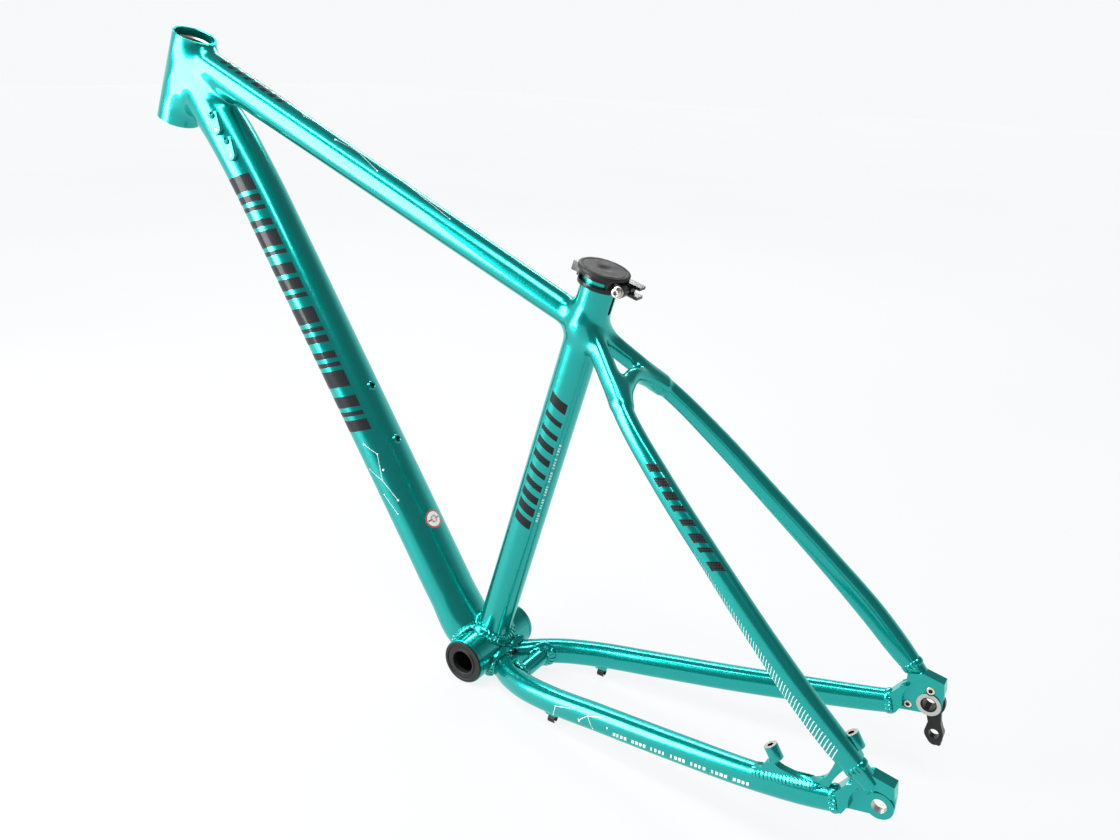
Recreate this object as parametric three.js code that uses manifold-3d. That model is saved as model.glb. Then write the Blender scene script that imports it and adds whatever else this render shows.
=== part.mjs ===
// Hardtail mountain bicycle frame with its small fitted parts.
// Millimetres. +X forward, +Y to the rider's left, +Z up, origin at the centre of the bottom bracket.

import * as THREE from 'three';
import { mergeVertices } from 'three/addons/utils/BufferGeometryUtils.js';
import Module from 'manifold-3d';

const wasm = await Module();
wasm.setup();

// ---------------------------------------------------------------- driving dimensions

const GAP = 0.3; // clearance between pieces that touch on the real frame
const WALL = 1.8; // thickness of a frame tube's wall
const CIRCLE = 28; // facets round a turned piece
const SMALL_CIRCLE = 14; // facets round a screw, bolt or small bore
const TUBE_SIDES = 20; // facets round a frame tube
const BORE_SIDES = 12; // facets round a tube's hidden bore
const BEYOND = 200; // reach of a cutting tool past what it cuts

const SHELL = { half: 46, radius: 23.75, bore: 20.5, recess: 22, recessDepth: 1.4 };
const HEAD = { x: 414, z: 612.4, angle: 67, length: 100, radius: 23.3, bore: 19.2 };
const BEARING_SEAT = { radius: 20.9, depth: 9 };
const SEAT = { angle: 74.2, length: 441, radius: 17.45, bore: 15.8, slotWidth: 3, slotLength: 34 };

const AXLE = { x: -436, z: 62, hubFace: 74, hole: 6.1 };
const DROPOUT = { recessFace: 75.2, plateOuter: 79.6, bossOuter: 81, bossRadius: 11.4, hubSeat: 10.8 };

// Seat clamp heights are along the seat tube from its foot; reaches are from the tube's axis.
const CLAMP = { low: 428.4, high: 440.7, bore: 17.75, radius: 21.2, boltReach: 24.6, boltHeight: 434.4 };
const CLAMP_EAR = { split: 1.5, outer: 10, nutFace: 13.8, radius: 5.7 };
const CLAMP_BOLT = { shank: 2.4, clear: 2.75, head: 4.3, headLength: 5, nut: 4.4 };
const CLAMP_WASHER = { radius: 5.2, thickness: 1 };

const BOSS = { flange: 4.6, top: 2.2, barrel: 3.5, depth: 11, thread: 2.6, seat: 3.3, seatDepth: 1.5 };
const BOSS_PITCH = 64;
const PORT = { length: 27, width: 13, depth: 6, face: 27.5, hole: 3.1, screw: 1.9, screwAt: 8 };
const GUIDE = { x: -114, y: 47.5, bottom: -13.6, halfLength: 7, halfWidth: 4.4 };
const EXIT = { radius: 4.6, bore: 3.1, face: 32.2, angle: 180 };

const paint = new THREE.MeshStandardMaterial({ color: 0x00a79c, roughness: 0.28, metalness: 0.7 });
const anodised = new THREE.MeshStandardMaterial({ color: 0x1c1c1e, roughness: 0.45, metalness: 0.5 });
const plastic = new THREE.MeshStandardMaterial({ color: 0x202022, roughness: 0.6, metalness: 0 });
const steel = new THREE.MeshStandardMaterial({ color: 0xc4c1bc, roughness: 0.3, metalness: 1 });

// Stations along each tube: [x, y, z, half width across the bicycle, half height].
const TOP_TUBE = [
  [422.7, 0, 592.0, 18.2, 18.2],
  [118.0, 0, 466.2, 15.4, 15.3],
  [-105.8, 0, 373.8, 13.6, 13.0],
];
const DOWN_TUBE = [
  [428.0, 0, 569.0, 18.5, 29.0],
  [400.0, 0, 545.0, 22.5, 27.0],
  [370.0, 0, 515.0, 26.0, 24.8],
  [336.0, 0, 471.8, 26.8, 24.2],
  [281.2, 0, 391.2, 27.0, 24.2],
  [52.5, 0, 45.2, 27.0, 24.2],
  [23.0, 0, 3.0, 25.5, 23.5],
  [10.5, 0, -11.5, 20.0, 15.0],
];
const SEAT_STAY = [
  [-104, 6.5, 376.0, 8.5, 9.4],
  [-122, 11.0, 359.6, 8.5, 9.2],
  [-148, 26.5, 335.7, 8.2, 8.8],
  [-175, 43.5, 310.9, 8.0, 8.6],
  [-218, 58.0, 271.4, 8.0, 9.4],
  [-275, 70.0, 219.0, 8.0, 10.0],
  [-329, 80.0, 169.5, 8.0, 11.0],
  [-377, 85.3, 125.6, 8.0, 11.9],
  [-404, 84.6, 100.6, 7.6, 11.0],
  [-428, 82.5, 80.0, 6.2, 7.5],
];
const CHAIN_STAY = [
  [-12, 8.5, -13.0, 10.5, 12.0],
  [-27, 14.5, -10.5, 11.0, 12.4],
  [-46, 26.6, -7.8, 11.0, 12.6],
  [-70, 37.6, -4.3, 11.0, 12.6],
  [-107, 46.6, 1.0, 11.0, 12.6],
  [-171, 54.2, 10.2, 11.0, 12.5],
  [-259, 64.2, 22.9, 10.6, 12.3],
  [-338, 73.4, 36.2, 9.6, 11.8],
  [-380, 76.6, 44.8, 9.0, 11.2],
  [-405, 77.6, 51.0, 8.6, 10.6],
];
const BRIDGE_ARCH = [
  [-167, 36, 318.5],
  [-160.5, 22, 327],
  [-156, 0, 334.4],
  [-160.5, -22, 327],
  [-167, -36, 318.5],
];

// Superellipse exponents of the tube sections: main tubes are elliptical, stays are squarer.
const ELLIPSE = 2;
const SOFT_SQUARE = 2.5;

// ---------------------------------------------------------------- solids and meshes

const radians = THREE.MathUtils.degToRad;
const at = (x, y, z) => new THREE.Vector3(x, y, z);
const along = (origin, direction, distance) => origin.clone().addScaledVector(direction, distance);
const tilted = (angle) => at(-Math.cos(radians(angle)), 0, Math.sin(radians(angle)));

/** Manifold solid from a closed three.js geometry. */
function solid(geometry) {
  const bare = geometry.clone();
  bare.deleteAttribute('normal');
  bare.deleteAttribute('uv');
  const welded = mergeVertices(bare, 1e-4);
  const corners = [];
  for (let i = 0; i < welded.index.count; i += 3) {
    const triangle = [0, 1, 2].map((k) => welded.index.getX(i + k));
    if (new Set(triangle).size === 3) corners.push(...triangle);
  }
  const vertProperties = Float32Array.from(welded.attributes.position.array);
  const triVerts = Uint32Array.from(corners);
  return new wasm.Manifold(new wasm.Mesh({ numProp: 3, vertProperties, triVerts }));
}

/** Named mesh from a solid. */
function mesh(name, body, material) {
  const data = body.getMesh();
  const geometry = new THREE.BufferGeometry();
  geometry.setAttribute('position', new THREE.BufferAttribute(data.vertProperties, 3));
  geometry.setIndex(new THREE.BufferAttribute(data.triVerts, 1));
  geometry.computeVertexNormals();
  const result = new THREE.Mesh(geometry, material);
  result.name = name;
  return result;
}

const union = (...bodies) => bodies.reduce((whole, body) => whole.add(body));
const cut = (body, ...tools) => tools.reduce((rest, tool) => rest.subtract(tool), body);

/** The largest of a solid's separate pieces. */
function largest(body) {
  return body.decompose().reduce((best, piece) => (piece.volume() > best.volume() ? piece : best));
}

/** Group at a place, turned by `angles` about X, Y and Z, that holds the given meshes. */
function assembly(position, angles, ...children) {
  const group = new THREE.Group();
  group.position.copy(position);
  group.rotation.set(...angles);
  group.add(...children);
  return group;
}

// ---------------------------------------------------------------- shapes

/** Round bar between two points. */
function rod(from, to, radius, sides = CIRCLE) {
  const direction = to.clone().sub(from);
  const geometry = new THREE.CylinderGeometry(radius, radius, direction.length(), sides);
  const turn = new THREE.Quaternion().setFromUnitVectors(at(0, 1, 0), direction.normalize());
  geometry.applyQuaternion(turn);
  const middle = from.clone().add(to).multiplyScalar(0.5);
  geometry.translate(middle.x, middle.y, middle.z);
  return solid(geometry);
}

/** Round bar on the local Z axis. */
const post = (radius, low, high, sides = CIRCLE) => rod(at(0, 0, low), at(0, 0, high), radius, sides);

/** Round bar across the bicycle at (x, z). */
const crossRod = (x, z, y0, y1, radius, sides = CIRCLE) => rod(at(x, y0, z), at(x, y1, z), radius, sides);

/** Solid of revolution about local Z from a [radius, height] profile, listed anticlockwise. */
function turned(profile, sides = CIRCLE) {
  const points = [...profile, profile[0]].map(([radius, height]) => new THREE.Vector2(radius, height));
  const geometry = new THREE.LatheGeometry(points, sides);
  geometry.rotateX(Math.PI / 2);
  return solid(geometry);
}

/** Rectangular block between two corners. */
function block([x0, y0, z0], [x1, y1, z1]) {
  const geometry = new THREE.BoxGeometry(x1 - x0, y1 - y0, z1 - z0);
  geometry.translate((x0 + x1) / 2, (y0 + y1) / 2, (z0 + z1) / 2);
  return solid(geometry);
}

/** Flat plate whose outline lies in the X-Z plane, on one side of the bicycle. */
function sidePlate(side, shape, inner, outer, curveSegments = 8) {
  const depth = outer - inner;
  const geometry = new THREE.ExtrudeGeometry(shape, { depth, bevelEnabled: false, curveSegments });
  geometry.rotateX(Math.PI / 2);
  geometry.translate(0, side > 0 ? outer : -inner, 0);
  return solid(geometry);
}

/** Outline through corners measured from the rear axle. */
function outline(corners) {
  return new THREE.Shape(corners.map(([x, z]) => new THREE.Vector2(AXLE.x + x, AXLE.z + z)));
}

/** Outline wrapped round two discs, each [x, z, radius]. */
function link([ax, az, ra], [bx, bz, rb]) {
  const heading = Math.atan2(bz - az, bx - ax);
  const spread = Math.acos((ra - rb) / Math.hypot(bx - ax, bz - az));
  const shape = new THREE.Shape();
  shape.absarc(ax, az, ra, heading + spread, heading - spread + 2 * Math.PI, false);
  shape.absarc(bx, bz, rb, heading - spread, heading + spread, false);
  return shape;
}

const superellipse = (value, exponent) => Math.sign(value) * Math.abs(value) ** (2 / exponent);

/** Solid swept along stations; `grow` fattens it and `reach` lengthens both ends. */
function sweep(stations, { grow = 0, reach = 0, exponent = ELLIPSE, sides = TUBE_SIDES } = {}) {
  const path = new THREE.CatmullRomCurve3(stations.map(([x, y, z]) => at(x, y, z)), false, 'centripetal');
  const spans = stations.length - 1;
  const geometry = new THREE.CylinderGeometry(1, 1, 1, sides, spans);
  const position = geometry.attributes.position;
  for (let i = 0; i < position.count; i += 1) {
    const station = Math.round((position.getY(i) + 0.5) * spans);
    const [, , , halfWidth, halfHeight] = stations[station];
    const tangent = path.getTangent(station / spans);
    const across = at(0, 1, 0).addScaledVector(tangent, -tangent.y).normalize();
    const up = across.clone().cross(tangent);
    const point = path.getPoint(station / spans);
    point.addScaledVector(across, superellipse(position.getX(i), exponent) * (halfWidth + grow));
    point.addScaledVector(up, superellipse(position.getZ(i), exponent) * (halfHeight + grow));
    if (station === 0) point.addScaledVector(tangent, -reach);
    if (station === spans) point.addScaledVector(tangent, reach);
    position.setXYZ(i, point.x, point.y, point.z);
  }
  return solid(geometry);
}

/** Swept tube, open at both ends. */
function tube(stations, exponent) {
  const bore = sweep(stations, { grow: -WALL, reach: 1, exponent, sides: BORE_SIDES });
  return cut(sweep(stations, { exponent }), bore);
}

/** The space a swept tube takes, with the clearance that its neighbours keep. */
const room = (stations, exponent) => sweep(stations, { grow: GAP, reach: GAP, exponent });

// ---------------------------------------------------------------- main tubes

const HEAD_UP = tilted(HEAD.angle);
const SEAT_UP = tilted(SEAT.angle);
const headTop = at(HEAD.x, 0, HEAD.z);
const headBottom = along(headTop, HEAD_UP, -HEAD.length);
const headTilt = [0, radians(HEAD.angle - 90), 0];
const seatTilt = [0, radians(SEAT.angle - 90), 0];

const shellRoom = crossRod(0, 0, -SHELL.half - GAP, SHELL.half + GAP, SHELL.radius + GAP);
const headRoom = rod(along(headBottom, HEAD_UP, -GAP), along(headTop, HEAD_UP, GAP), HEAD.radius + GAP);
const seatRoom = rod(at(0, 0, 0), along(at(0, 0, 0), SEAT_UP, SEAT.length + GAP), SEAT.radius + GAP);
const topRoom = room(TOP_TUBE);
const downRoom = room(DOWN_TUBE);

const sideName = (side) => (side > 0 ? 'left' : 'right');
const onSide = (stations, side) => stations.map(([x, y, z, ...halves]) => [x, side * y, z, ...halves]);
const seatStayRoom = (side) => room(onSide(SEAT_STAY, side), SOFT_SQUARE);
const chainStayRoom = (side) => room(onSide(CHAIN_STAY, side), SOFT_SQUARE);

/** Head tube about its own axis, foot at the local origin. */
function headTube() {
  const { radius, bore, length } = HEAD;
  const { radius: seat, depth } = BEARING_SEAT;
  const ledge = 1.5;
  const body = turned([
    [seat, 0],
    [radius, 0],
    [radius, length],
    [seat, length],
    [seat, length - depth],
    [bore, length - depth - ledge],
    [bore, depth + ledge],
    [seat, depth],
  ]);
  return mesh('head_tube', body, paint);
}

/** Seat tube about its own axis, with the slot that lets the clamp close its top. */
function seatTube() {
  const { length, radius, bore, slotWidth, slotLength } = SEAT;
  const half = slotWidth / 2;
  const slot = block([-radius - 1, -half, length - slotLength], [-bore + 6, half, length + 1]);
  const shellBelow = crossRod(0, 0, -BEYOND, BEYOND, SHELL.radius + GAP);
  const body = cut(post(radius, 0, length), post(bore, -1, length + 1), slot, shellBelow);
  return mesh('seat_tube', body, paint);
}

function topTube() {
  return mesh('top_tube', cut(tube(TOP_TUBE), headRoom, seatRoom), paint);
}

function downTube() {
  const holes = bottleBosses.map(({ foot }) => (
    rod(along(foot, bossOut, -BOSS.depth - 3), along(foot, bossOut, 8), BOSS.barrel + GAP, SMALL_CIRCLE)
  ));
  return mesh('down_tube', cut(tube(DOWN_TUBE), headRoom, topRoom, seatRoom, shellRoom, ...holes), paint);
}

/** Bottom bracket shell about its own axis, centred on the local origin. */
function bottomBracketShell() {
  const { half, radius, bore, recess, recessDepth } = SHELL;
  const body = turned([
    [bore, -half + recessDepth],
    [recess, -half + recessDepth],
    [recess, -half],
    [radius, -half],
    [radius, half],
    [recess, half],
    [recess, half - recessDepth],
    [bore, half - recessDepth],
  ]);
  return mesh('bottom_bracket_shell', body, paint);
}

// ---------------------------------------------------------------- rear triangle

/** Everything on one side of the centre plane, half a clearance away from it. */
function halfSpace(side) {
  const reach = 1000;
  const body = block([-reach, GAP / 2, -reach], [reach, reach, reach]);
  return side > 0 ? body : body.mirror([0, 1, 0]);
}

function seatStay(side) {
  const body = cut(tube(onSide(SEAT_STAY, side), SOFT_SQUARE), seatRoom).intersect(halfSpace(side));
  return mesh(`seatstay_${sideName(side)}`, body, paint);
}

function chainStay(side) {
  const body = cut(tube(onSide(CHAIN_STAY, side), SOFT_SQUARE), shellRoom, seatRoom);
  return mesh(`chainstay_${sideName(side)}`, body.intersect(halfSpace(side)), paint);
}

/** Arched tube between the seatstays, above the wheel. */
function seatStayBridge() {
  const radius = 7.5;
  const section = new THREE.Shape();
  section.absarc(0, 0, radius, 0, 2 * Math.PI, false);
  const bore = new THREE.Path();
  bore.absarc(0, 0, radius - WALL, 0, 2 * Math.PI, true);
  section.holes.push(bore);
  const extrudePath = new THREE.CatmullRomCurve3(BRIDGE_ARCH.map(([x, y, z]) => at(x, y, z)));
  const geometry = new THREE.ExtrudeGeometry(section, { steps: 8, curveSegments: 8, extrudePath });
  return mesh('seatstay_bridge', cut(solid(geometry), seatStayRoom(1), seatStayRoom(-1)), paint);
}

/** Short tube between the chainstays, behind the bottom bracket. */
function chainStayBridge() {
  const { x, z, reach, radius } = { x: -56, z: -5.5, reach: 34, radius: 8.2 };
  const outer = crossRod(x, z, -reach, reach, radius, TUBE_SIDES);
  const inner = crossRod(x, z, -reach, reach, radius - WALL, BORE_SIDES);
  return mesh('chainstay_bridge', cut(outer, inner, chainStayRoom(1), chainStayRoom(-1)), paint);
}

// ---------------------------------------------------------------- dropouts

// Corners are measured from the rear axle: [forward, up].
const PLATE = [[35, -17], [35, -2], [26, 10.4], [22, 15], [22, 24], [8, 28], [-10, 25], [-11.4, 14]];
const SEAT_STAY_BLOCK = [[22, 12], [22, 24], [8, 28.4], [-10, 25], [-11.4, 14]];
const CHAIN_STAY_BLOCK = [
  [35, -18], [35, -2], [26, 10.4], [19, 14], [14, 4], [16, -9.5], [23, -10.5], [26.5, -18],
];
const HANGER_BOLTS = { upper: [0.4, 13.4], lower: [17.9, -7.3] };
const M4_BOLT = { head: 3.9, headDepth: 2.6, shank: 2.4, length: 7.4, key: 2, keyDepth: 1.8 };
const HANGER = { inner: 79.9, outer: 84.2, nose: 88.2, insert: 6.9, thread: 5.9 };
const DERAILLEUR_EYE = { place: [-7.4, -31.7], radius: 4.6 };

/** Bar across the bicycle on one side, at a place measured from the rear axle. */
function axleRod(side, [x, z], inner, outer, radius, sides = CIRCLE) {
  return crossRod(AXLE.x + x, AXLE.z + z, side * inner, side * outer, radius, sides);
}

/** Plate with blocks for both stays, relieved round the axle on both faces. */
function dropoutBlank(side) {
  const { recessFace, plateOuter, bossRadius, hubSeat } = DROPOUT;
  const plateOutline = outline(PLATE);
  plateOutline.absarc(AXLE.x, AXLE.z, bossRadius, Math.PI, 1.62 * Math.PI, false);
  const body = union(
    sidePlate(side, plateOutline, recessFace, plateOuter, 10),
    sidePlate(side, outline(SEAT_STAY_BLOCK), 74.6, 86),
    sidePlate(side, outline(CHAIN_STAY_BLOCK), 71, 85),
  );
  const innerRelief = axleRod(side, [0, 0], 60, recessFace, 23);
  const outerRelief = axleRod(side, [2, -4], plateOuter, 100, 20.5);
  const seat = axleRod(side, [0, 0], AXLE.hubFace, recessFace + 1, hubSeat);
  return union(cut(body, innerRelief, outerRelief), seat);
}

function dropoutLeft() {
  const { bossOuter, bossRadius } = DROPOUT;
  const boss = axleRod(1, [0, 0], bossOuter - 3, bossOuter, bossRadius);
  const hole = axleRod(1, [0, 0], 60, 100, AXLE.hole);
  const body = cut(union(dropoutBlank(1), boss), hole, seatStayRoom(1), chainStayRoom(1));
  return mesh('dropout_left', body, paint);
}

/** Hanger plates: a triangle over both bolts and the axle, and an arm down to the derailleur eye. */
function hangerPlates(grow = 0) {
  const { inner, outer, nose } = HANGER;
  const disc = ([x, z], radius) => [AXLE.x + x, AXLE.z + z, radius + grow];
  const arm = (a, b, near, far) => sidePlate(-1, link(a, b), near - grow, far + grow, 5);
  const axle = disc([0, 0], 13.4);
  const upper = disc(HANGER_BOLTS.upper, 6);
  const lower = disc(HANGER_BOLTS.lower, 6);
  const armRoot = disc([-3.5, -7], 7);
  const neck = disc([-6.5, -21], 5.6);
  const eye = disc(DERAILLEUR_EYE.place, 8.4);
  const behind = inner + 0.8;
  return union(
    arm(axle, upper, inner, outer),
    arm(axle, lower, inner, outer),
    arm(upper, lower, inner, outer),
    arm(armRoot, neck, behind, outer + 1.4),
    arm(neck, eye, behind, outer + 2.6),
    arm(eye, disc([-8.6, -37], 6), behind, nose),
    arm(disc(DERAILLEUR_EYE.place, 5), disc([-12.6, -40], 2.4), behind, nose),
  );
}

function dropoutRight() {
  const socket = axleRod(-1, [0, 0], 60, 100, HANGER.insert + GAP);
  const sunk = DROPOUT.recessFace + M4_BOLT.headDepth + GAP;
  const boltRooms = Object.values(HANGER_BOLTS).flatMap((place) => [
    axleRod(-1, place, 70, sunk, M4_BOLT.head + GAP, SMALL_CIRCLE),
    axleRod(-1, place, 70, 90, M4_BOLT.shank + GAP, SMALL_CIRCLE),
  ]);
  const tools = [socket, ...boltRooms, hangerPlates(GAP), seatStayRoom(-1), chainStayRoom(-1)];
  return mesh('dropout_right', cut(dropoutBlank(-1), ...tools), paint);
}

function derailleurHanger() {
  const { inner, outer, nose, insert, thread } = HANGER;
  const sleeve = axleRod(-1, [0, 0], AXLE.hubFace + 1, inner + 1, insert);
  const collar = axleRod(-1, [0, 0], outer - 1, nose, 11);
  const bores = [
    axleRod(-1, [0, 0], 60, 100, thread),
    axleRod(-1, DERAILLEUR_EYE.place, 60, 100, DERAILLEUR_EYE.radius, TUBE_SIDES),
    ...Object.values(HANGER_BOLTS).map((place) => (
      axleRod(-1, place, 70, DROPOUT.recessFace + M4_BOLT.length + GAP, M4_BOLT.shank + GAP, SMALL_CIRCLE)
    )),
  ];
  return mesh('derailleur_hanger', cut(union(hangerPlates(), sleeve, collar), ...bores), anodised);
}

/** Hanger bolt on local Z: head at the origin, shank upwards. */
function hangerBolt(name) {
  const { head, headDepth, shank, length, key, keyDepth } = M4_BOLT;
  const body = union(post(head, 0, headDepth, SMALL_CIRCLE), post(shank, 1, length, SMALL_CIRCLE));
  return mesh(`hanger_bolt_${name}`, cut(body, post(key, -1, keyDepth, 6)), steel);
}

/** Hanger bolts stand in the right dropout's inner face and point outwards. */
function hangerBolts() {
  return Object.entries(HANGER_BOLTS).map(([name, [x, z]]) => (
    assembly(at(AXLE.x + x, -DROPOUT.recessFace, AXLE.z + z), [Math.PI / 2, 0, 0], hangerBolt(name))
  ));
}

// ---------------------------------------------------------------- disc brake mount

// The two posts stand square to the line between their faces, measured from the rear axle.
const POSTS = { front: [92.25, 12], rear: [29.95, 51.9], radius: 5.9, hole: 2.6, depth: 10 };
const POST_Y = 76;
const MOUNT = { inner: 74.2, outer: 81.2 };

function brakeMountOutline() {
  const [x, z] = [AXLE.x, AXLE.z];
  const shape = new THREE.Shape();
  shape.moveTo(x + 104, z - 13);
  shape.quadraticCurveTo(x + 95, z - 11, x + 93.8, z - 4);
  shape.lineTo(x + 85.8, z + 1);
  shape.quadraticCurveTo(x + 84, z - 3.4, x + 74, z - 3.8);
  shape.quadraticCurveTo(x + 52, z - 6.6, x + 43.6, z + 6);
  shape.quadraticCurveTo(x + 37.7, z + 17, x + 35, z + 39);
  shape.lineTo(x + 25, z + 45);
  shape.lineTo(x + 18, z + 35);
  shape.quadraticCurveTo(x + 36, z + 15, x + 39, z);
  shape.lineTo(x + 44, z - 12);
  shape.lineTo(x + 64, z - 19);
  shape.lineTo(x + 91, z - 23);
  return shape;
}

/** Point on a post's axis, `height` above its face. */
function onPost([x, z], height) {
  const rise = at(POSTS.front[0] - POSTS.rear[0], 0, POSTS.front[1] - POSTS.rear[1]).normalize();
  return along(at(AXLE.x + x, POST_Y, AXLE.z + z), at(-rise.z, 0, rise.x), height);
}

function brakeMount() {
  const { front, rear, radius, hole, depth } = POSTS;
  const web = sidePlate(1, brakeMountOutline(), MOUNT.inner, MOUNT.outer, 5);
  const floor = 3;
  const posts = [front, rear].map((place) => rod(onPost(place, -depth - floor), onPost(place, 0), radius));
  const holes = [front, rear].map((place) => (
    rod(onPost(place, -depth), onPost(place, 1), hole, SMALL_CIRCLE)
  ));
  const body = cut(union(web, ...posts), ...holes, chainStayRoom(1), seatStayRoom(1));
  return mesh('brake_mount', largest(body), paint);
}

// ---------------------------------------------------------------- bottle bosses

const bossLine = { top: at(281.2, 0, 391.2), foot: at(52.5, 0, 45.2) };
const bossDown = bossLine.foot.clone().sub(bossLine.top).normalize();
const bossOut = at(bossDown.z, 0, -bossDown.x);
const bottleBosses = ['upper', 'lower'].map((name, row) => {
  const distance = 176 + BOSS_PITCH * row;
  return { name, foot: along(along(bossLine.top, bossDown, distance), bossOut, DOWN_TUBE[4][4]) };
});

/** Threaded boss on local Z, which leaves the tube. */
function bottleBoss(name) {
  const { thread, barrel, depth, flange, top, seat, seatDepth } = BOSS;
  const body = turned([
    [thread, -depth],
    [barrel, -depth],
    [barrel, GAP],
    [flange, GAP],
    [flange, top],
    [seat, top],
    [seat, top - seatDepth],
    [thread, top - seatDepth],
  ], TUBE_SIDES);
  return mesh(`bottle_boss_${name}`, body, paint);
}

function bottleScrew(name) {
  const { top, seat, seatDepth } = BOSS;
  const shank = 2.2;
  const key = 1.6;
  const low = top - seatDepth + GAP;
  const body = union(post(seat - GAP, low, top, TUBE_SIDES), post(shank, -10, low + GAP, SMALL_CIRCLE));
  return mesh(`bottle_screw_${name}`, cut(body, post(key, top - 1, top + 1, 6)), plastic);
}

function bottleMounts() {
  const lean = [0, Math.atan2(bossOut.x, bossOut.z), 0];
  return bottleBosses.map(({ name, foot }) => assembly(foot, lean, bottleBoss(name), bottleScrew(name)));
}

// ---------------------------------------------------------------- cable ports, guides and exit

const cablePorts = [
  { name: 'upper', centre: at(364.5, 0, 518.5) },
  { name: 'lower', centre: at(343.6, 0, 493.0) },
];

/** Directions of a port: local Z out of the tube's left side, local X down the tube. */
function portBasis() {
  const out = at(-0.2, 0.965, 0.17).normalize();
  const slope = at(-0.36, 0, -0.93);
  const down = along(slope, out, -slope.dot(out)).normalize();
  return new THREE.Matrix4().makeBasis(down, out.clone().cross(down), out);
}

function portCover(name, tubeRoom) {
  const { length, width, depth, face, hole, screw, screwAt } = PORT;
  const reach = (length - width) / 2;
  const shape = new THREE.Shape();
  shape.absarc(-reach, 0, width / 2, Math.PI / 2, 1.5 * Math.PI, false);
  shape.absarc(reach, 0, width / 2, -Math.PI / 2, Math.PI / 2, false);
  const geometry = new THREE.ExtrudeGeometry(shape, { depth, bevelEnabled: false, curveSegments: 6 });
  geometry.translate(0, 0, face - depth);
  const cableWay = rod(at(-length, 0, face + 7), at(2, 0, face - depth), hole, SMALL_CIRCLE);
  const screwWay = rod(at(screwAt, 0, 0), at(screwAt, 0, BEYOND), screw + GAP, SMALL_CIRCLE);
  return mesh(`cable_port_${name}`, largest(cut(solid(geometry), cableWay, screwWay, tubeRoom)), paint);
}

function portScrew(name, tubeRoom) {
  const { face, screw, screwAt } = PORT;
  const key = 1;
  const head = rod(at(screwAt, 0, face - 6), at(screwAt, 0, face - GAP), screw, SMALL_CIRCLE);
  const socket = rod(at(screwAt, 0, face - 1.2), at(screwAt, 0, face + 1), key, 6);
  return mesh(`port_screw_${name}`, largest(cut(head, socket, tubeRoom)), steel);
}

function portAssemblies() {
  return cablePorts.map(({ name, centre }) => {
    const place = portBasis().setPosition(centre);
    const tubeRoom = downRoom.transform(place.clone().invert().elements);
    const group = new THREE.Group();
    group.applyMatrix4(place);
    group.add(portCover(name, tubeRoom), portScrew(name, tubeRoom));
    return group;
  });
}

/** Small chamfered block under a chainstay. */
function cableGuide(side) {
  const { x, y, bottom, halfLength, halfWidth } = GUIDE;
  const chamfer = 1.6;
  const shape = new THREE.Shape();
  shape.moveTo(x - halfLength, bottom + 8);
  shape.lineTo(x - halfLength, bottom + chamfer);
  shape.lineTo(x - halfLength + chamfer, bottom);
  shape.lineTo(x + halfLength - chamfer, bottom);
  shape.lineTo(x + halfLength, bottom + chamfer);
  shape.lineTo(x + halfLength, bottom + 8);
  const body = cut(sidePlate(side, shape, y - halfWidth, y + halfWidth), chainStayRoom(side));
  return mesh(`cable_guide_${sideName(side)}`, largest(body), paint);
}

/** C-shaped clip on local X, the way the cable runs, hung from the local origin. */
function cableClip(side) {
  const { halfLength, radius, bore } = { halfLength: 3.4, radius: 4.4, bore: 2.9 };
  const bar = (reach, r) => rod(at(-reach, 0, -radius), at(reach, 0, -radius), r, TUBE_SIDES);
  const saddle = block([-halfLength, -3, -1.8], [halfLength, 3, 0]);
  const mouth = block([-halfLength - 1, -1.5, -2 * radius - 1], [halfLength + 1, 1.5, -radius]);
  const body = cut(union(bar(halfLength, radius), saddle), bar(halfLength + 1, bore), mouth);
  return mesh(`cable_clip_${sideName(side)}`, body, plastic);
}

function cableClips() {
  return [1, -1].map((side) => (
    assembly(at(GUIDE.x, side * GUIDE.y, GUIDE.bottom - GAP), [0, 0, 0], cableClip(side))
  ));
}

/** Boss on the bottom bracket shell where the cables leave, on local Z. */
function cableExit() {
  const { radius, bore, face } = EXIT;
  const shell = crossRod(0, 0, -BEYOND, BEYOND, SHELL.radius + GAP);
  const body = cut(post(radius, 15, face, SMALL_CIRCLE), post(bore, 0, face + 1, SMALL_CIRCLE), shell);
  return mesh('cable_exit_boss', body, paint);
}

function cableExitGrommet() {
  const { radius, bore, face } = EXIT;
  const body = turned([
    [1.6, face - 5],
    [bore - GAP, face - 5],
    [bore - GAP, face + GAP],
    [radius - 0.4, face + GAP],
    [radius - 1, face + 1.8],
    [1.6, face + 1.8],
  ], SMALL_CIRCLE);
  return mesh('cable_exit_grommet', body, plastic);
}

// ---------------------------------------------------------------- seat clamp and its bolt

/** Bar across the bicycle on the clamp bolt's axis, in the seat tube's frame. */
function boltRod(radius, y0, y1, sides = SMALL_CIRCLE) {
  return crossRod(-CLAMP.boltReach, CLAMP.boltHeight, y0, y1, radius, sides);
}

/** Ring with a window in each side. */
function clampRing() {
  const { bore, radius, low, high } = CLAMP;
  const ring = turned([[bore, low], [radius, low], [radius, high], [bore, high]], 36);
  const band = 3.4;
  const shape = new THREE.Shape();
  shape.moveTo(0, 0);
  shape.absarc(0, 0, 30, radians(40), radians(132), false);
  const depth = high - low - 2 * band;
  const geometry = new THREE.ExtrudeGeometry(shape, { depth, bevelEnabled: false, curveSegments: 4 });
  geometry.translate(0, 0, low + band);
  const window = solid(geometry);
  return cut(ring, window, window.mirror([0, 1, 0]));
}

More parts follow.
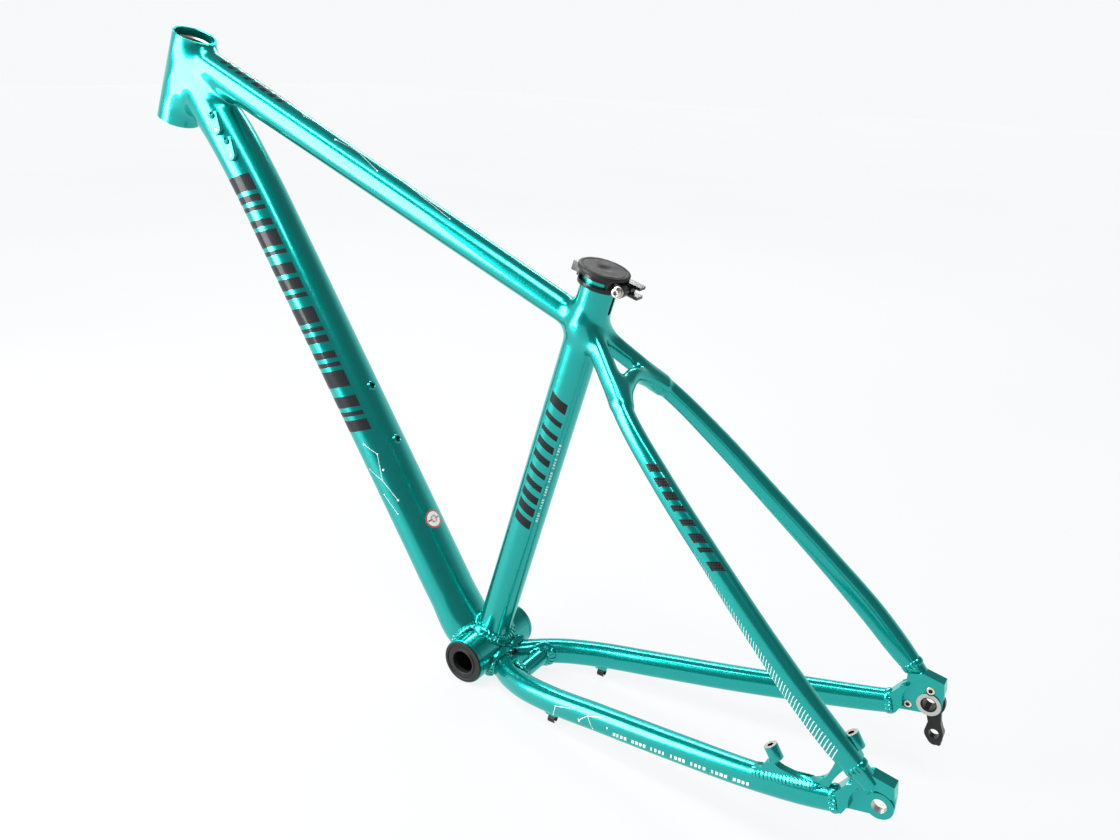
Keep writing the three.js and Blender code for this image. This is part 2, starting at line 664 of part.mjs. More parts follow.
function seatClamp() {
  const { bore, radius, low, high, boltReach } = CLAMP;
  const { split, outer, nutFace, radius: earRadius } = CLAMP_EAR;
  const ear = union(
    block([-boltReach, split, low + 0.4], [-bore + 1, outer, high - 0.4]),
    boltRod(earRadius, split, outer, CIRCLE),
  );
  const flange = (z0, z1) => block([-36.5, -nutFace - 1.6, z0], [-bore + 1, -outer + 5, z1]);
  const badge = union(
    block([bore + 1, -5, low + 1], [radius + 2, 5, high]),
    block([radius + 1, -5, low + 3.4], [29.8, 5, high]),
  );
  const slot = block([-BEYOND, -split, low - 1], [-bore + 4, split, high + 1]);
  const nutRoom = boltRod(CLAMP_BOLT.nut + GAP, -outer - GAP, -BEYOND);
  const flanges = union(flange(high - 3, high), flange(low, low + 3));
  const whole = union(clampRing(), ear, ear.mirror([0, 1, 0]), flanges, badge);
  const tubeWay = post(bore, low - 1, high + 1, 36);
  const body = cut(whole, slot, tubeWay, boltRod(CLAMP_BOLT.clear, -20, 20), nutRoom);
  return mesh('seat_clamp', body, anodised);
}

function clampNut() {
  const { outer, nutFace } = CLAMP_EAR;
  const { nut, shank } = CLAMP_BOLT;
  const body = cut(boltRod(nut, -outer - 2 * GAP, -nutFace), boltRod(shank + GAP, -BEYOND, 0));
  return mesh('clamp_nut', body, anodised);
}

function clampWasher() {
  const { radius, thickness } = CLAMP_WASHER;
  const face = CLAMP_EAR.outer + GAP;
  const body = cut(boltRod(radius, face, face + thickness, CIRCLE), boltRod(CLAMP_BOLT.clear, 0, BEYOND));
  return mesh('clamp_washer', body, steel);
}

function clampBolt() {
  const { shank, head, headLength } = CLAMP_BOLT;
  const key = 2.3;
  const seat = CLAMP_EAR.outer + 2 * GAP + CLAMP_WASHER.thickness;
  const headRod = boltRod(head, seat, seat + headLength, TUBE_SIDES);
  const shankRod = boltRod(shank, -CLAMP_EAR.nutFace - 1, seat + 1);
  const socket = boltRod(key, seat + 2, seat + headLength + 1, 6);
  return mesh('clamp_bolt', cut(union(headRod, shankRod), socket), steel);
}

// ---------------------------------------------------------------- transport plugs

/** Dished cap over the seat tube, with a skirt that stands in its bore. */
function seatTubePlug() {
  const radius = 24.4;
  const under = SEAT.length + GAP;
  const top = under + 3.7;
  const skirt = { outer: SEAT.bore - GAP, inner: 13, foot: under - 20 };
  const points = [
    [0, under],
    [skirt.inner, under],
    [skirt.inner, skirt.foot],
    [skirt.outer - 0.6, skirt.foot],
    [skirt.outer, skirt.foot + 2],
    [skirt.outer, under],
    [radius - 0.6, under],
    [radius, under + 0.8],
    [radius, top - 1],
    [radius - 1, top],
    [5, top],
    [0, top - 1.4],
  ].map(([r, z]) => new THREE.Vector2(r, z));
  const geometry = new THREE.LatheGeometry(points, CIRCLE);
  geometry.rotateX(Math.PI / 2);
  return mesh('seat_tube_plug', solid(geometry), plastic);
}

/** Stepped cap on local Z, which points out of the shell. */
function bottomBracketPlug(side) {
  const { half, recess, recessDepth, bore } = SHELL;
  const back = half - recessDepth + GAP;
  const front = half + 1.5;
  const skirt = { outer: bore - GAP, inner: 17.6, foot: back - 16 };
  const hole = 12.3;
  const web = 3;
  const ring = { outer: 19.4, inner: 15, sunk: front - 0.9 };
  const body = turned([
    [hole, back - web],
    [skirt.inner, back - web],
    [skirt.inner, skirt.foot],
    [skirt.outer - 0.5, skirt.foot],
    [skirt.outer, skirt.foot + 2],
    [skirt.outer, back],
    [recess - GAP, back],
    [recess - GAP, front],
    [ring.outer, front],
    [ring.outer - 0.4, ring.sunk],
    [ring.inner + 0.4, ring.sunk],
    [ring.inner, front],
    [hole, front],
  ]);
  return mesh(`bottom_bracket_plug_${sideName(side)}`, body, plastic);
}

// ---------------------------------------------------------------- assembly

const origin = at(0, 0, 0);
const outwards = (side) => [(-side * Math.PI) / 2, 0, 0];
const exitTilt = [0, radians(90 - EXIT.angle), 0];

const bicycleFrame = new THREE.Group();
bicycleFrame.add(assembly(headBottom, headTilt, headTube()));
bicycleFrame.add(topTube(), downTube());
bicycleFrame.add(assembly(origin, outwards(1), bottomBracketShell(), bottomBracketPlug(1)));
bicycleFrame.add(assembly(origin, outwards(-1), bottomBracketPlug(-1)));

const seatTop = [seatClamp(), clampBolt(), clampWasher(), clampNut(), seatTubePlug()];
bicycleFrame.add(assembly(origin, seatTilt, seatTube(), ...seatTop));

for (const side of [1, -1]) bicycleFrame.add(seatStay(side), chainStay(side), cableGuide(side));
bicycleFrame.add(seatStayBridge(), chainStayBridge(), brakeMount());
bicycleFrame.add(dropoutLeft(), dropoutRight(), derailleurHanger(), ...hangerBolts());

bicycleFrame.add(...bottleMounts(), ...portAssemblies(), ...cableClips());
bicycleFrame.add(assembly(origin, exitTilt, cableExit(), cableExitGrommet()));

export default bicycleFrame;
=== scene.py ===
import math

import bmesh
import bpy
import numpy as np
from mathutils import Matrix, Vector


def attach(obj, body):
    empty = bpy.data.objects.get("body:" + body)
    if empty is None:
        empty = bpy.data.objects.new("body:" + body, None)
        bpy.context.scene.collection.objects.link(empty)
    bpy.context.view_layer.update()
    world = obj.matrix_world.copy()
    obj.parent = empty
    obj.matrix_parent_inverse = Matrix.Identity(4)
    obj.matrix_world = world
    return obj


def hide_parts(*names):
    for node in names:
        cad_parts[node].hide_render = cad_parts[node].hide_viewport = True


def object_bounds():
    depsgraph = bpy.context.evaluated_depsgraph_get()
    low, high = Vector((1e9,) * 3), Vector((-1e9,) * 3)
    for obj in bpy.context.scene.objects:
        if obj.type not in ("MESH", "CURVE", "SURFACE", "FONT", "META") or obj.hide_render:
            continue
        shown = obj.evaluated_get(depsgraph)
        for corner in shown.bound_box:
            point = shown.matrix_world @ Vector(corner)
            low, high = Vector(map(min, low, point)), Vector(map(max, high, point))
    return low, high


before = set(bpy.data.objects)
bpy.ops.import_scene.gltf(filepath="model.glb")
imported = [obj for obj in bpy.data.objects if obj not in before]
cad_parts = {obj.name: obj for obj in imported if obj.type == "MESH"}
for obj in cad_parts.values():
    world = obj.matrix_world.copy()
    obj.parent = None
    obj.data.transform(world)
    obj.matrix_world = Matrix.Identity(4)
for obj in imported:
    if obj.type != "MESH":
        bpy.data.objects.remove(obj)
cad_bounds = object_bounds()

# Hardtail mountain bicycle frame. Lengths in this script are in millimetres until a piece is
# handed over, with +X forward, +Y to the rider's left, +Z up from the bottom bracket's centre.


# ---------------------------------------------------------------- dimensions

HEAD_ANGLE = 67
SEAT_ANGLE = 74.2
HEAD_TOP = Vector((414, 0, 612.4))
HEAD_LENGTH = 100
HEAD_RADIUS = 23.3
HEAD_BORE = 19.2
BEARING_SEAT = {"radius": 20.9, "depth": 9}
SEAT_LENGTH = 441
SEAT_RADIUS = 17.45
SEAT_BORE = 15.8
SEAT_SLOT = {"width": 3, "length": 34}
SHELL = {"half": 46, "radius": 23.75, "bore": 20.5, "recess": 22, "recess_depth": 1.4}
AXLE = Vector((-436, 0, 62))


def leaning(angle):
    """Direction of a tube that leans back, `angle` degrees from level."""
    return Vector((-math.cos(math.radians(angle)), 0, math.sin(math.radians(angle))))


HEAD_UP = leaning(HEAD_ANGLE)
SEAT_UP = leaning(SEAT_ANGLE)
HEAD_BOTTOM = HEAD_TOP - HEAD_UP * HEAD_LENGTH
LEFT = Vector((0, 1, 0))
SIDES = ((1, "left"), (-1, "right"))

# Stations along each tube: x, y, z, half width across the bicycle, half height.
TOP_TUBE = [
    (422.7, 0, 592.0, 18.2, 18.2),
    (118.0, 0, 466.2, 15.4, 15.3),
    (-105.8, 0, 373.8, 13.6, 13.0),
]
DOWN_TUBE = [
    (428.0, 0, 569.0, 18.5, 29.0),
    (400.0, 0, 545.0, 22.5, 27.0),
    (370.0, 0, 515.0, 26.0, 24.8),
    (336.0, 0, 471.8, 26.8, 24.2),
    (281.2, 0, 391.2, 27.0, 24.2),
    (243.1, 0, 333.5, 27.0, 24.2),
    (90.6, 0, 102.9, 27.0, 24.2),
    (52.5, 0, 45.2, 27.0, 24.2),
    (23.0, 0, 3.0, 25.5, 23.5),
    (10.5, 0, -11.5, 20.0, 15.0),
]
SEAT_STAY = [
    (-104, 6.5, 376.0, 8.5, 9.4),
    (-122, 11.0, 359.6, 8.5, 9.2),
    (-148, 26.5, 335.7, 8.2, 8.8),
    (-175, 43.5, 310.9, 8.0, 8.6),
    (-218, 58.0, 271.4, 8.0, 9.4),
    (-275, 70.0, 219.0, 8.0, 10.0),
    (-329, 80.0, 169.5, 8.0, 11.0),
    (-377, 85.3, 125.6, 8.0, 11.9),
    (-404, 84.6, 100.6, 7.6, 11.0),
    (-428, 82.5, 80.0, 6.2, 7.5),
]
CHAIN_STAY = [
    (-12, 8.5, -13.0, 10.5, 12.0),
    (-27, 14.5, -10.5, 11.0, 12.4),
    (-46, 26.6, -7.8, 11.0, 12.6),
    (-70, 37.6, -4.3, 11.0, 12.6),
    (-107, 46.6, 1.0, 11.0, 12.6),
    (-171, 54.2, 10.2, 11.0, 12.5),
    (-259, 64.2, 22.9, 10.6, 12.3),
    (-338, 73.4, 36.2, 9.6, 11.8),
    (-380, 76.6, 44.8, 9.0, 11.2),
    (-405, 77.6, 51.0, 8.6, 10.6),
]
BRIDGE_ARCH = [(-167, 36, 318.5), (-160.5, 22, 327), (-156, 0, 334.4), (-160.5, -22, 327), (-167, -36, 318.5)]
BRIDGE_RADIUS = 7.5
CHAIN_BRIDGE = [(-56, 34, -5.5), (-56, -34, -5.5)]
CHAIN_BRIDGE_RADIUS = 8.2

# Places and outlines at the rear axle: [forward, up] from it.
DROPOUT = {"recess_face": 75.2, "plate": 79.6, "boss": 81, "boss_radius": 11.4, "hub_seat": 10.8,
           "hub_face": 74}
AXLE_HOLE = 6.1
PLATE = [(35, -17), (35, -2), (26, 10.4), (22, 15), (22, 24), (8, 28), (-10, 25), (-11.4, 14)]
SEAT_STAY_BLOCK = [(22, 12), (22, 24), (8, 28.4), (-10, 25), (-11.4, 14)]
CHAIN_STAY_BLOCK = [(35, -18), (35, -2), (26, 10.4), (19, 14), (14, 4), (16, -9.5), (23, -10.5), (26.5, -18)]
HANGER_BOLTS = {"upper": (0.4, 13.4), "lower": (17.9, -7.3)}
M4_BOLT = {"head": 3.9, "head_depth": 2.6, "shank": 2.4, "length": 7.4, "key": 2, "key_depth": 1.8}
HANGER = {"inner": 79.9, "outer": 84.2, "nose": 88.2, "insert": 6.9, "thread": 5.9}
DERAILLEUR_EYE = {"place": (-7.4, -31.7), "radius": 4.6}
POSTS = {"front": (92.25, 12), "rear": (29.95, 51.9), "radius": 5.9, "hole": 2.6, "depth": 10, "y": 76}
MOUNT = {"inner": 74.2, "outer": 81.2}

CLAMP = {"low": 428.4, "high": 440.7, "bore": 17.75, "radius": 21.2, "reach": 24.6, "height": 434.4}
CLAMP_EAR = {"split": 1.5, "outer": 10, "nut_face": 13.8, "radius": 5.7}
CLAMP_BOLT = {"shank": 2.4, "clear": 2.75, "head": 4.3, "head_length": 5, "nut": 4.4, "key": 2.3}
CLAMP_WASHER = {"radius": 5.2, "thickness": 1}
GAP = 0.3

BOSS = {"flange": 4.6, "top": 2.2, "seat": 3.3, "seat_depth": 1.5, "pitch": 64}
PORT = {"length": 27, "width": 13, "face": 27.5, "hole": 3.1, "screw": 1.9, "screw_at": 8}
GUIDE = {"x": -114, "y": 47.5, "bottom": -13.6, "half_length": 7, "half_width": 4.4}
EXIT = {"radius": 4.6, "bore": 3.1, "face": 32.2, "angle": 180}


def mirrored(stations):
    return [(x, -y, z, *rest) for x, y, z, *rest in stations]


# ---------------------------------------------------------------- swept tubes as distance fields

def cubic(a, b, slope_a, slope_b, t):
    """Cubic from a to b with the given slopes at its ends."""
    h = 2 * t**3 - 3 * t**2 + 1
    return h * a + (1 - h) * b + (t**3 - 2 * t**2 + t) * slope_a + (t**3 - t**2) * slope_b


def grid_faces(rows, columns, closed=False, ring=False, first=0):
    """Quads of a grid of points. `closed` joins its last row to its first, and `ring` its last column."""
    faces = []
    for i in range(rows if closed else rows - 1):
        a, b = first + i * columns, first + (i + 1) % rows * columns
        for k in range(columns if ring else columns - 1):
            m = (k + 1) % columns
            faces.append((a + k, a + m, b + m, b + k))
    return faces


def unit(vectors):
    return vectors / np.maximum(np.linalg.norm(vectors, axis=1), 1e-9)[:, None]


class Tube:
    """Superelliptic tube along a smooth path, with the distance and outward direction anywhere."""

    STEP = 3.0

    def __init__(self, stations, exponent=2.0):
        self.n = exponent
        rows = self.resample(np.array(stations, float))
        self.centre, self.half = rows[:, :3], rows[:, 3:]
        slopes = np.gradient(self.centre, axis=0)
        self.step = float(np.linalg.norm(slopes, axis=1).mean())
        self.tangent = unit(slopes)
        self.across = abs(self.tangent[len(rows) // 2, 1]) > 0.95
        self.low = self.centre.min(0) - self.half.max()
        self.high = self.centre.max(0) + self.half.max()

    def resample(self, rows):
        """Rows at even steps of a smooth curve through the stations."""
        knots = np.concatenate([[0], np.cumsum(np.linalg.norm(np.diff(rows[:, :3], axis=0), axis=1))])
        slopes = np.gradient(rows, knots, axis=0)
        places = np.linspace(0, knots[-1], max(2, int(knots[-1] / self.STEP) + 1))
        low = np.clip(np.searchsorted(knots, places, side="right") - 1, 0, len(knots) - 2)
        span = (knots[low + 1] - knots[low])[:, None]
        t = (places - knots[low])[:, None] / span
        return cubic(rows[low], rows[low + 1], span * slopes[low], span * slopes[low + 1], t)

    def frame_at(self, place):
        """Centre, half sizes, their growth and the section's directions at row numbers."""
        last = len(self.centre) - 1
        low = np.clip(np.floor(place).astype(int), 0, last - 1)
        t = (np.clip(place, 0, last) - low)[:, None]
        slopes = self.tangent * self.step
        centre = cubic(self.centre[low], self.centre[low + 1], slopes[low], slopes[low + 1], t)
        tangent = unit(self.tangent[low] * (1 - t) + self.tangent[low + 1] * t)
        half = self.half[low] * (1 - t) + self.half[low + 1] * t
        growth = (self.half[low + 1] - self.half[low]) / self.step
        level = np.array([1.0, 0, 0]) if self.across else np.array([0, 1.0, 0])
        side = unit(level - tangent * (tangent @ level)[:, None])
        return centre, half, growth, tangent, side, np.cross(side, tangent)

    def nearest(self, points):
        """Row number of the path's nearest place to each point."""
        square = (self.centre**2).sum(1)
        place = np.empty(len(points))
        for i in range(0, len(points), 20000):
            some = points[i:i + 20000]
            place[i:i + 20000] = np.argmin(square - 2 * some @ self.centre.T, axis=1)
        for _ in range(4):
            centre, _, _, tangent, _, _ = self.frame_at(place)
            place += np.clip(((points - centre) * tangent).sum(1) / self.step, -1, 1)
            place = np.clip(place, 0, len(self.centre) - 1)
        return place

    def distance(self, points):
        """Signed distance to the tube's surface, and the outward direction."""
        place = self.nearest(points)
        centre, half, growth, tangent, side, up = self.frame_at(place)
        offset = points - centre
        a, b = (offset * side).sum(1), (offset * up).sum(1)
        w, h = half[:, 0], half[:, 1]
        u, v = np.abs(a) / w + 1e-6, np.abs(b) / h + 1e-6
        gauge = (u**self.n + v**self.n) ** (1 / self.n)
        scale = gauge ** (1 - self.n)
        ga, gb = scale * np.sign(a) * u ** (self.n - 1) / w, scale * np.sign(b) * v ** (self.n - 1) / h
        gs = -scale * (u**self.n * growth[:, 0] / w + v**self.n * growth[:, 1] / h)
        normal = side * ga[:, None] + up * gb[:, None] + tangent * gs[:, None]
        steep = np.linalg.norm(normal, axis=1)
        distance = (gauge - 1) / steep
        normal /= steep[:, None]
        beyond = (offset * tangent).sum(1)
        past = ((place <= 0) & (beyond < 0)) | ((place >= len(self.centre) - 1) & (beyond > 0))
        outside = np.maximum(distance[past], 0)
        mixed = normal[past] * outside[:, None] + tangent[past] * beyond[past][:, None]
        distance[past] = np.hypot(outside, beyond[past])
        normal[past] = unit(mixed)
        return distance, normal

    def surface(self, place, angle):
        """Points on the skin at row numbers and angles round the section (0 = left, 90 = up)."""
        centre, half, _, _, side, up = self.frame_at(np.asarray(place, float))
        c, s = np.cos(angle), np.sin(angle)
        a = np.sign(c) * np.abs(c) ** (2 / self.n) * half[:, 0]
        b = np.sign(s) * np.abs(s) ** (2 / self.n) * half[:, 1]
        return centre + side * a[:, None] + up * b[:, None]

    def mesh(self, sides=48, stride=2):
        """Closed grid of the tube's skin: points and faces."""
        rows = np.unique(np.append(np.arange(0, len(self.centre), stride), len(self.centre) - 1))
        angles = np.linspace(0, 2 * np.pi, sides, endpoint=False)
        points = self.surface(np.repeat(rows, sides), np.tile(angles, len(rows)))
        faces = grid_faces(len(rows), sides, ring=True)
        faces += [list(range(sides))[::-1], [(len(rows) - 1) * sides + k for k in range(sides)]]
        return points, faces


def straight(base, direction, low, high, radius):
    """Round tube along an axis."""
    ends = [Vector(base) + Vector(direction) * s for s in (low, high)]
    return Tube([(*end, radius, radius) for end in ends])


OVERRUN = 4  # ends are made this much too long, then cut off square
tubes = {
    "head": straight(HEAD_BOTTOM, HEAD_UP, -OVERRUN, HEAD_LENGTH + OVERRUN, HEAD_RADIUS),
    "seat": straight((0, 0, 0), SEAT_UP, 0, SEAT_LENGTH + OVERRUN, SEAT_RADIUS),
    "shell": straight((0, 0, 0), LEFT, -SHELL["half"] - OVERRUN, SHELL["half"] + OVERRUN, SHELL["radius"]),
    "top": Tube(TOP_TUBE),
    "down": Tube(DOWN_TUBE),
    "seat_stay_left": Tube(SEAT_STAY, 2.5),
    "seat_stay_right": Tube(mirrored(SEAT_STAY), 2.5),
    "chain_stay_left": Tube(CHAIN_STAY, 2.5),
    "chain_stay_right": Tube(mirrored(CHAIN_STAY), 2.5),
    "arch": Tube([(*p, BRIDGE_RADIUS, BRIDGE_RADIUS) for p in BRIDGE_ARCH]),
    "chain_bridge": Tube([(*p, CHAIN_BRIDGE_RADIUS, CHAIN_BRIDGE_RADIUS) for p in CHAIN_BRIDGE]),
}

# Joints that are dressed smooth: centre, reach and blend width. Elsewhere the joint stays tight.
TIGHT_BLEND = 1.6
SMOOTH_JOINTS = [
    ((425, 0, 570), 120, 15),
    ((-104, 0, 372), 75, 13),
    ((-165, 30, 322), 34, 8),
    ((-165, -30, 322), 34, 8),
]


def blend_width(points):
    width = np.full(len(points), TIGHT_BLEND)
    for centre, reach, k in SMOOTH_JOINTS:
        near = np.clip(1.35 - np.linalg.norm(points - np.array(centre), axis=1) / reach, 0, 1)
        width += (k - TIGHT_BLEND) * near * near * (3 - 2 * near)
    return width


def frame_distance(points):
    """Distance to the blended union of all tubes, and its outward direction."""
    best = np.full(len(points), 1e3)
    direction = np.zeros((len(points), 3))
    width = blend_width(points)
    margin = 30
    for tube in tubes.values():
        inside = ((points > tube.low - margin) & (points < tube.high + margin)).all(1)
        if not inside.any():
            continue
        distance, normal = tube.distance(points[inside])
        old, old_normal, k = best[inside], direction[inside], width[inside]
        h = np.clip(k - np.abs(old - distance), 0, None) / k
        share = np.where(distance < old, 1 - h / 2, h / 2)[:, None]
        best[inside] = np.minimum(old, distance) - h * h * k / 4
        direction[inside] = normal * share + old_normal * (1 - share)
    return best, direction


# ---------------------------------------------------------------- mesh helpers

def new_object(name, points, faces):
    """Object in the scene, still in millimetres."""
    mesh = bpy.data.meshes.new(name)
    mesh.from_pydata(np.asarray(points, float).tolist(), [], [list(map(int, face)) for face in faces])
    mesh.validate()
    obj = bpy.data.objects.new(name, mesh)
    bpy.context.scene.collection.objects.link(obj)
    return obj


def with_bmesh(obj, *steps):
    """Runs bmesh steps on an object's mesh."""
    bm = bmesh.new()
    bm.from_mesh(obj.data)
    for step in steps:
        step(bm)
    bm.to_mesh(obj.data)
    bm.free()
    return obj


def outward(bm):
    bmesh.ops.remove_doubles(bm, verts=bm.verts, dist=1e-4)
    bmesh.ops.recalc_face_normals(bm, faces=bm.faces)


def flatten_cells(bm):
    """Joins coplanar triangles back into single faces."""
    bmesh.ops.dissolve_limit(bm, angle_limit=math.radians(0.4), verts=bm.verts, edges=bm.edges)


def bake(obj):
    """Applies an object's modifiers."""
    graph = bpy.context.evaluated_depsgraph_get()
    mesh = bpy.data.meshes.new_from_object(obj.evaluated_get(graph))
    old, obj.data = obj.data, mesh
    obj.modifiers.clear()
    bpy.data.meshes.remove(old)
    return obj


def modified(obj, kind, **settings):
    """Applies one modifier."""
    modifier = obj.modifiers.new(kind.lower(), kind)
    for name, value in settings.items():
        setattr(modifier, name, value)
    return bake(obj)


def boolean(operation, body, *tools):
    """Joins tools to a body or cuts them away, and uses them up."""
    for tool in tools:
        modifier = body.modifiers.new(operation.lower(), "BOOLEAN")
        modifier.operation = operation
        modifier.object = tool
        modifier.solver = "MANIFOLD"
    bake(body)
    for tool in tools:
        bpy.data.meshes.remove(tool.data)
    return body


def union(body, *tools):
    return boolean("UNION", body, *tools)


def cut(body, *tools):
    return boolean("DIFFERENCE", body, *tools)


def placed(obj, matrix):
    obj.data.transform(matrix)
    return obj


def lathe(profile, sides=96):
    """Solid of revolution about Z from a closed [radius, height] profile."""
    angles = np.linspace(0, 2 * np.pi, sides, endpoint=False)
    points = [(r * math.cos(a), r * math.sin(a), z) for a in angles for r, z in profile]
    return with_bmesh(new_object("lathe", points, grid_faces(sides, len(profile), True, True)), outward)


def prism(outline, low, high):
    """Plate with its outline in X-Y, between two heights."""
    count = len(outline)
    points = [(x, y, z) for z in (low, high) for x, y in outline]
    faces = grid_faces(2, count, ring=True) + [list(range(count))[::-1], list(range(count, 2 * count))]
    return with_bmesh(new_object("prism", points, faces), outward)


def post(radius, low, high, sides=64):
    """Round bar on the Z axis."""
    angles = np.linspace(0, 2 * np.pi, sides, endpoint=False)
    return prism([(radius * math.cos(a), radius * math.sin(a)) for a in angles], low, high)


def rod(start, end, radius, sides=64):
    """Round bar between two points."""
    start, end = Vector(start), Vector(end)
    turn = (end - start).to_track_quat("Z", "Y").to_matrix().to_4x4()
    return placed(post(radius, 0, (end - start).length, sides), Matrix.Translation(start) @ turn)


def cross_rod(x, z, y0, y1, radius, sides=64):
    """Round bar across the bicycle."""
    return rod((x, y0, z), (x, y1, z), radius, sides)


def block(low, high):
    """Rectangular block between two corners."""
    (x0, y0, z0), (x1, y1, z1) = low, high
    return prism([(x0, y0), (x1, y0), (x1, y1), (x0, y1)], z0, z1)


SIDEWAYS = Matrix(((1, 0, 0, 0), (0, 0, 1, 0), (0, 1, 0, 0), (0, 0, 0, 1)))


def side_plate(side, outline, inner, outer):
    """Plate with its outline in the X-Z plane, measured from the rear axle, on one side."""
    plate = prism([(AXLE.x + x, AXLE.z + z) for x, z in outline], *sorted((side * inner, side * outer)))
    return with_bmesh(placed(plate, SIDEWAYS), outward)


def arc(centre, radius, start, end, count=24):
    """Points along an arc, angles in degrees."""
    angles = np.radians(np.linspace(start, end, count))
    return [(centre[0] + radius * math.cos(a), centre[1] + radius * math.sin(a)) for a in angles]


def curve(start, control, end, count=12):
    """Points along a quadratic curve, without its start."""
    steps = [(i + 1) / count for i in range(count)]
    return [tuple((1 - t) ** 2 * a + 2 * t * (1 - t) * b + t * t * c
                  for a, b, c in zip(start, control, end)) for t in steps]


def link(a, b):
    """Outline wrapped round two discs, each (x, z, radius)."""
    heading = math.degrees(math.atan2(b[1] - a[1], b[0] - a[0]))
    spread = math.degrees(math.acos((a[2] - b[2]) / math.dist(a[:2], b[:2])))
    near = arc(a[:2], a[2], heading + spread, heading - spread + 360, 28)
    return near + arc(b[:2], b[2], heading - spread, heading + spread, 28)


def rounded(obj, radius, segments=3, angle=25):
    """Rounds an object's edges."""
    with_bmesh(obj, flatten_cells)
    return modified(obj, "BEVEL", width=radius, segments=segments, limit_method="ANGLE",
                    angle_limit=math.radians(angle), use_clamp_overlap=True, miter_outer="MITER_ARC")


def joined(name, objects):
    """One object from several, without merging their surfaces."""
    bm = bmesh.new()
    for obj in objects:
        bm.from_mesh(obj.data)
    result = new_object(name, [], [])
    bm.to_mesh(result.data)
    bm.free()
    for obj in objects:
        bpy.data.meshes.remove(obj.data)
    return result


SHARP = math.radians(38)


def hand_over(obj, name, material, replaces=(), body="frame"):
    """Finishes a piece: metres, smooth shading, material, and its place in the frame."""
    obj.name = obj.data.name = name
    obj.data.transform(Matrix.Scale(0.001, 4))
    obj.data.shade_smooth()
    obj.data.set_sharp_from_angle(angle=SHARP)
    obj.data.materials.clear()
    obj.data.materials.append(material)
    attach(obj, body)
    if replaces:
        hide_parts(*replaces)
    return obj


# ---------------------------------------------------------------- welded frame

def leaning_place(base, angle):
    """Matrix of a local frame whose Z runs up a tube that leans back."""
    return Matrix.Translation(base) @ Matrix.Rotation(math.radians(angle - 90), 4, "Y")


HEAD_PLACE = leaning_place(HEAD_BOTTOM, HEAD_ANGLE)
SEAT_PLACE = leaning_place(Vector(), SEAT_ANGLE)
SIDE_PLACE = {1: Matrix.Rotation(-math.pi / 2, 4, "X"), -1: Matrix.Rotation(math.pi / 2, 4, "X")}


def raw_skin(voxel=1.3):
    """Outer skin of all tubes as one even mesh, moved onto the blended surface."""
    points, faces = [], []
    for tube in tubes.values():
        some, cells = tube.mesh()
        faces += [[k + len(points) for k in cell] for cell in cells]
        points += some.tolist()
    skin = modified(new_object("skin", points, faces), "REMESH", mode="VOXEL", voxel_size=voxel)
    for _ in range(3):
        skin = modified(skin, "SMOOTH", factor=0.5, iterations=4)
        spots = np.empty(len(skin.data.vertices) * 3)
        skin.data.vertices.foreach_get("co", spots)
        spots = spots.reshape(-1, 3)
        for _ in range(2):
            distance, direction = frame_distance(spots)
            move = np.clip(distance / np.maximum((direction**2).sum(1), 0.2), -2.5, 2.5)
            spots -= direction * move[:, None]
        skin.data.vertices.foreach_set("co", spots.ravel())
        skin.data.update()
    return skin


def head_bore():
    """Bearing seats and bore of the head tube, with a small lead-in at each end."""
    seat, depth = BEARING_SEAT["radius"], BEARING_SEAT["depth"]
    half = [(seat + 0.6, -1), (seat + 0.6, 0), (seat, 0.6), (seat, depth), (HEAD_BORE, depth + 1.5)]
    far = [(r, HEAD_LENGTH - z) for r, z in reversed(half)]
    return placed(lathe([(0, -1), *half, *far, (0, HEAD_LENGTH + 1)]), HEAD_PLACE)


def shell_bore():
    """Bore of the bottom bracket shell with a recess at each end."""
    inner = SHELL["half"] - SHELL["recess_depth"]
    half = [(SHELL["bore"], inner), (SHELL["recess"], inner), (SHELL["recess"], SHELL["half"] + 1)]
    other = [(r, -z) for r, z in reversed(half)]
    return placed(lathe([(0, -SHELL["half"] - 1), *other, *half, (0, SHELL["half"] + 1)]), SIDE_PLACE[1])


def seat_slot():
    """Slot behind the top of the seat tube, round at its foot."""
    half, foot = SEAT_SLOT["width"] / 2, SEAT_LENGTH - SEAT_SLOT["length"]
    outline = [(half, SEAT_LENGTH + 9), (-half, SEAT_LENGTH + 9)]
    outline += arc((0, foot + half), half + 0.9, 180, 360)
    plate = prism(outline, 6, SEAT_RADIUS + 6)
    facing_back = Matrix(((0, 0, -1, 0), (1, 0, 0, 0), (0, 1, 0, 0), (0, 0, 0, 1)))
    return placed(with_bmesh(placed(plate, facing_back), outward), SEAT_PLACE)


def shell_grooves(side):
    """Lathe marks round the shell near one end: a groove and a shallow turned step."""
    outer, end = SHELL["radius"] + 2, SHELL["half"]
    deep, shallow = SHELL["radius"] - 0.5, SHELL["radius"] - 0.35
    groove = [(outer, end - 4.6), (deep, end - 4.3), (deep, end - 3.7), (outer, end - 3.4)]
    step = [(outer, end - 1.3), (shallow, end - 1.2), (shallow, end + 1), (outer, end + 1)]
    return [placed(lathe(ring, 96), SIDE_PLACE[side]) for ring in (groove, step)]


def end_trims():
    """Solids past each square-cut end."""
    far, half, round_shell = 40, SHELL["half"], SHELL["radius"] + 1
    trims = [placed(post(HEAD_RADIUS + 14, low, low + far), HEAD_PLACE) for low in (HEAD_LENGTH, -far)]
    trims.append(placed(post(SEAT_RADIUS + 6, SEAT_LENGTH, SEAT_LENGTH + far), SEAT_PLACE))
    return trims + [cross_rod(0, 0, side * half, side * (half + far), round_shell) for side in (1, -1)]


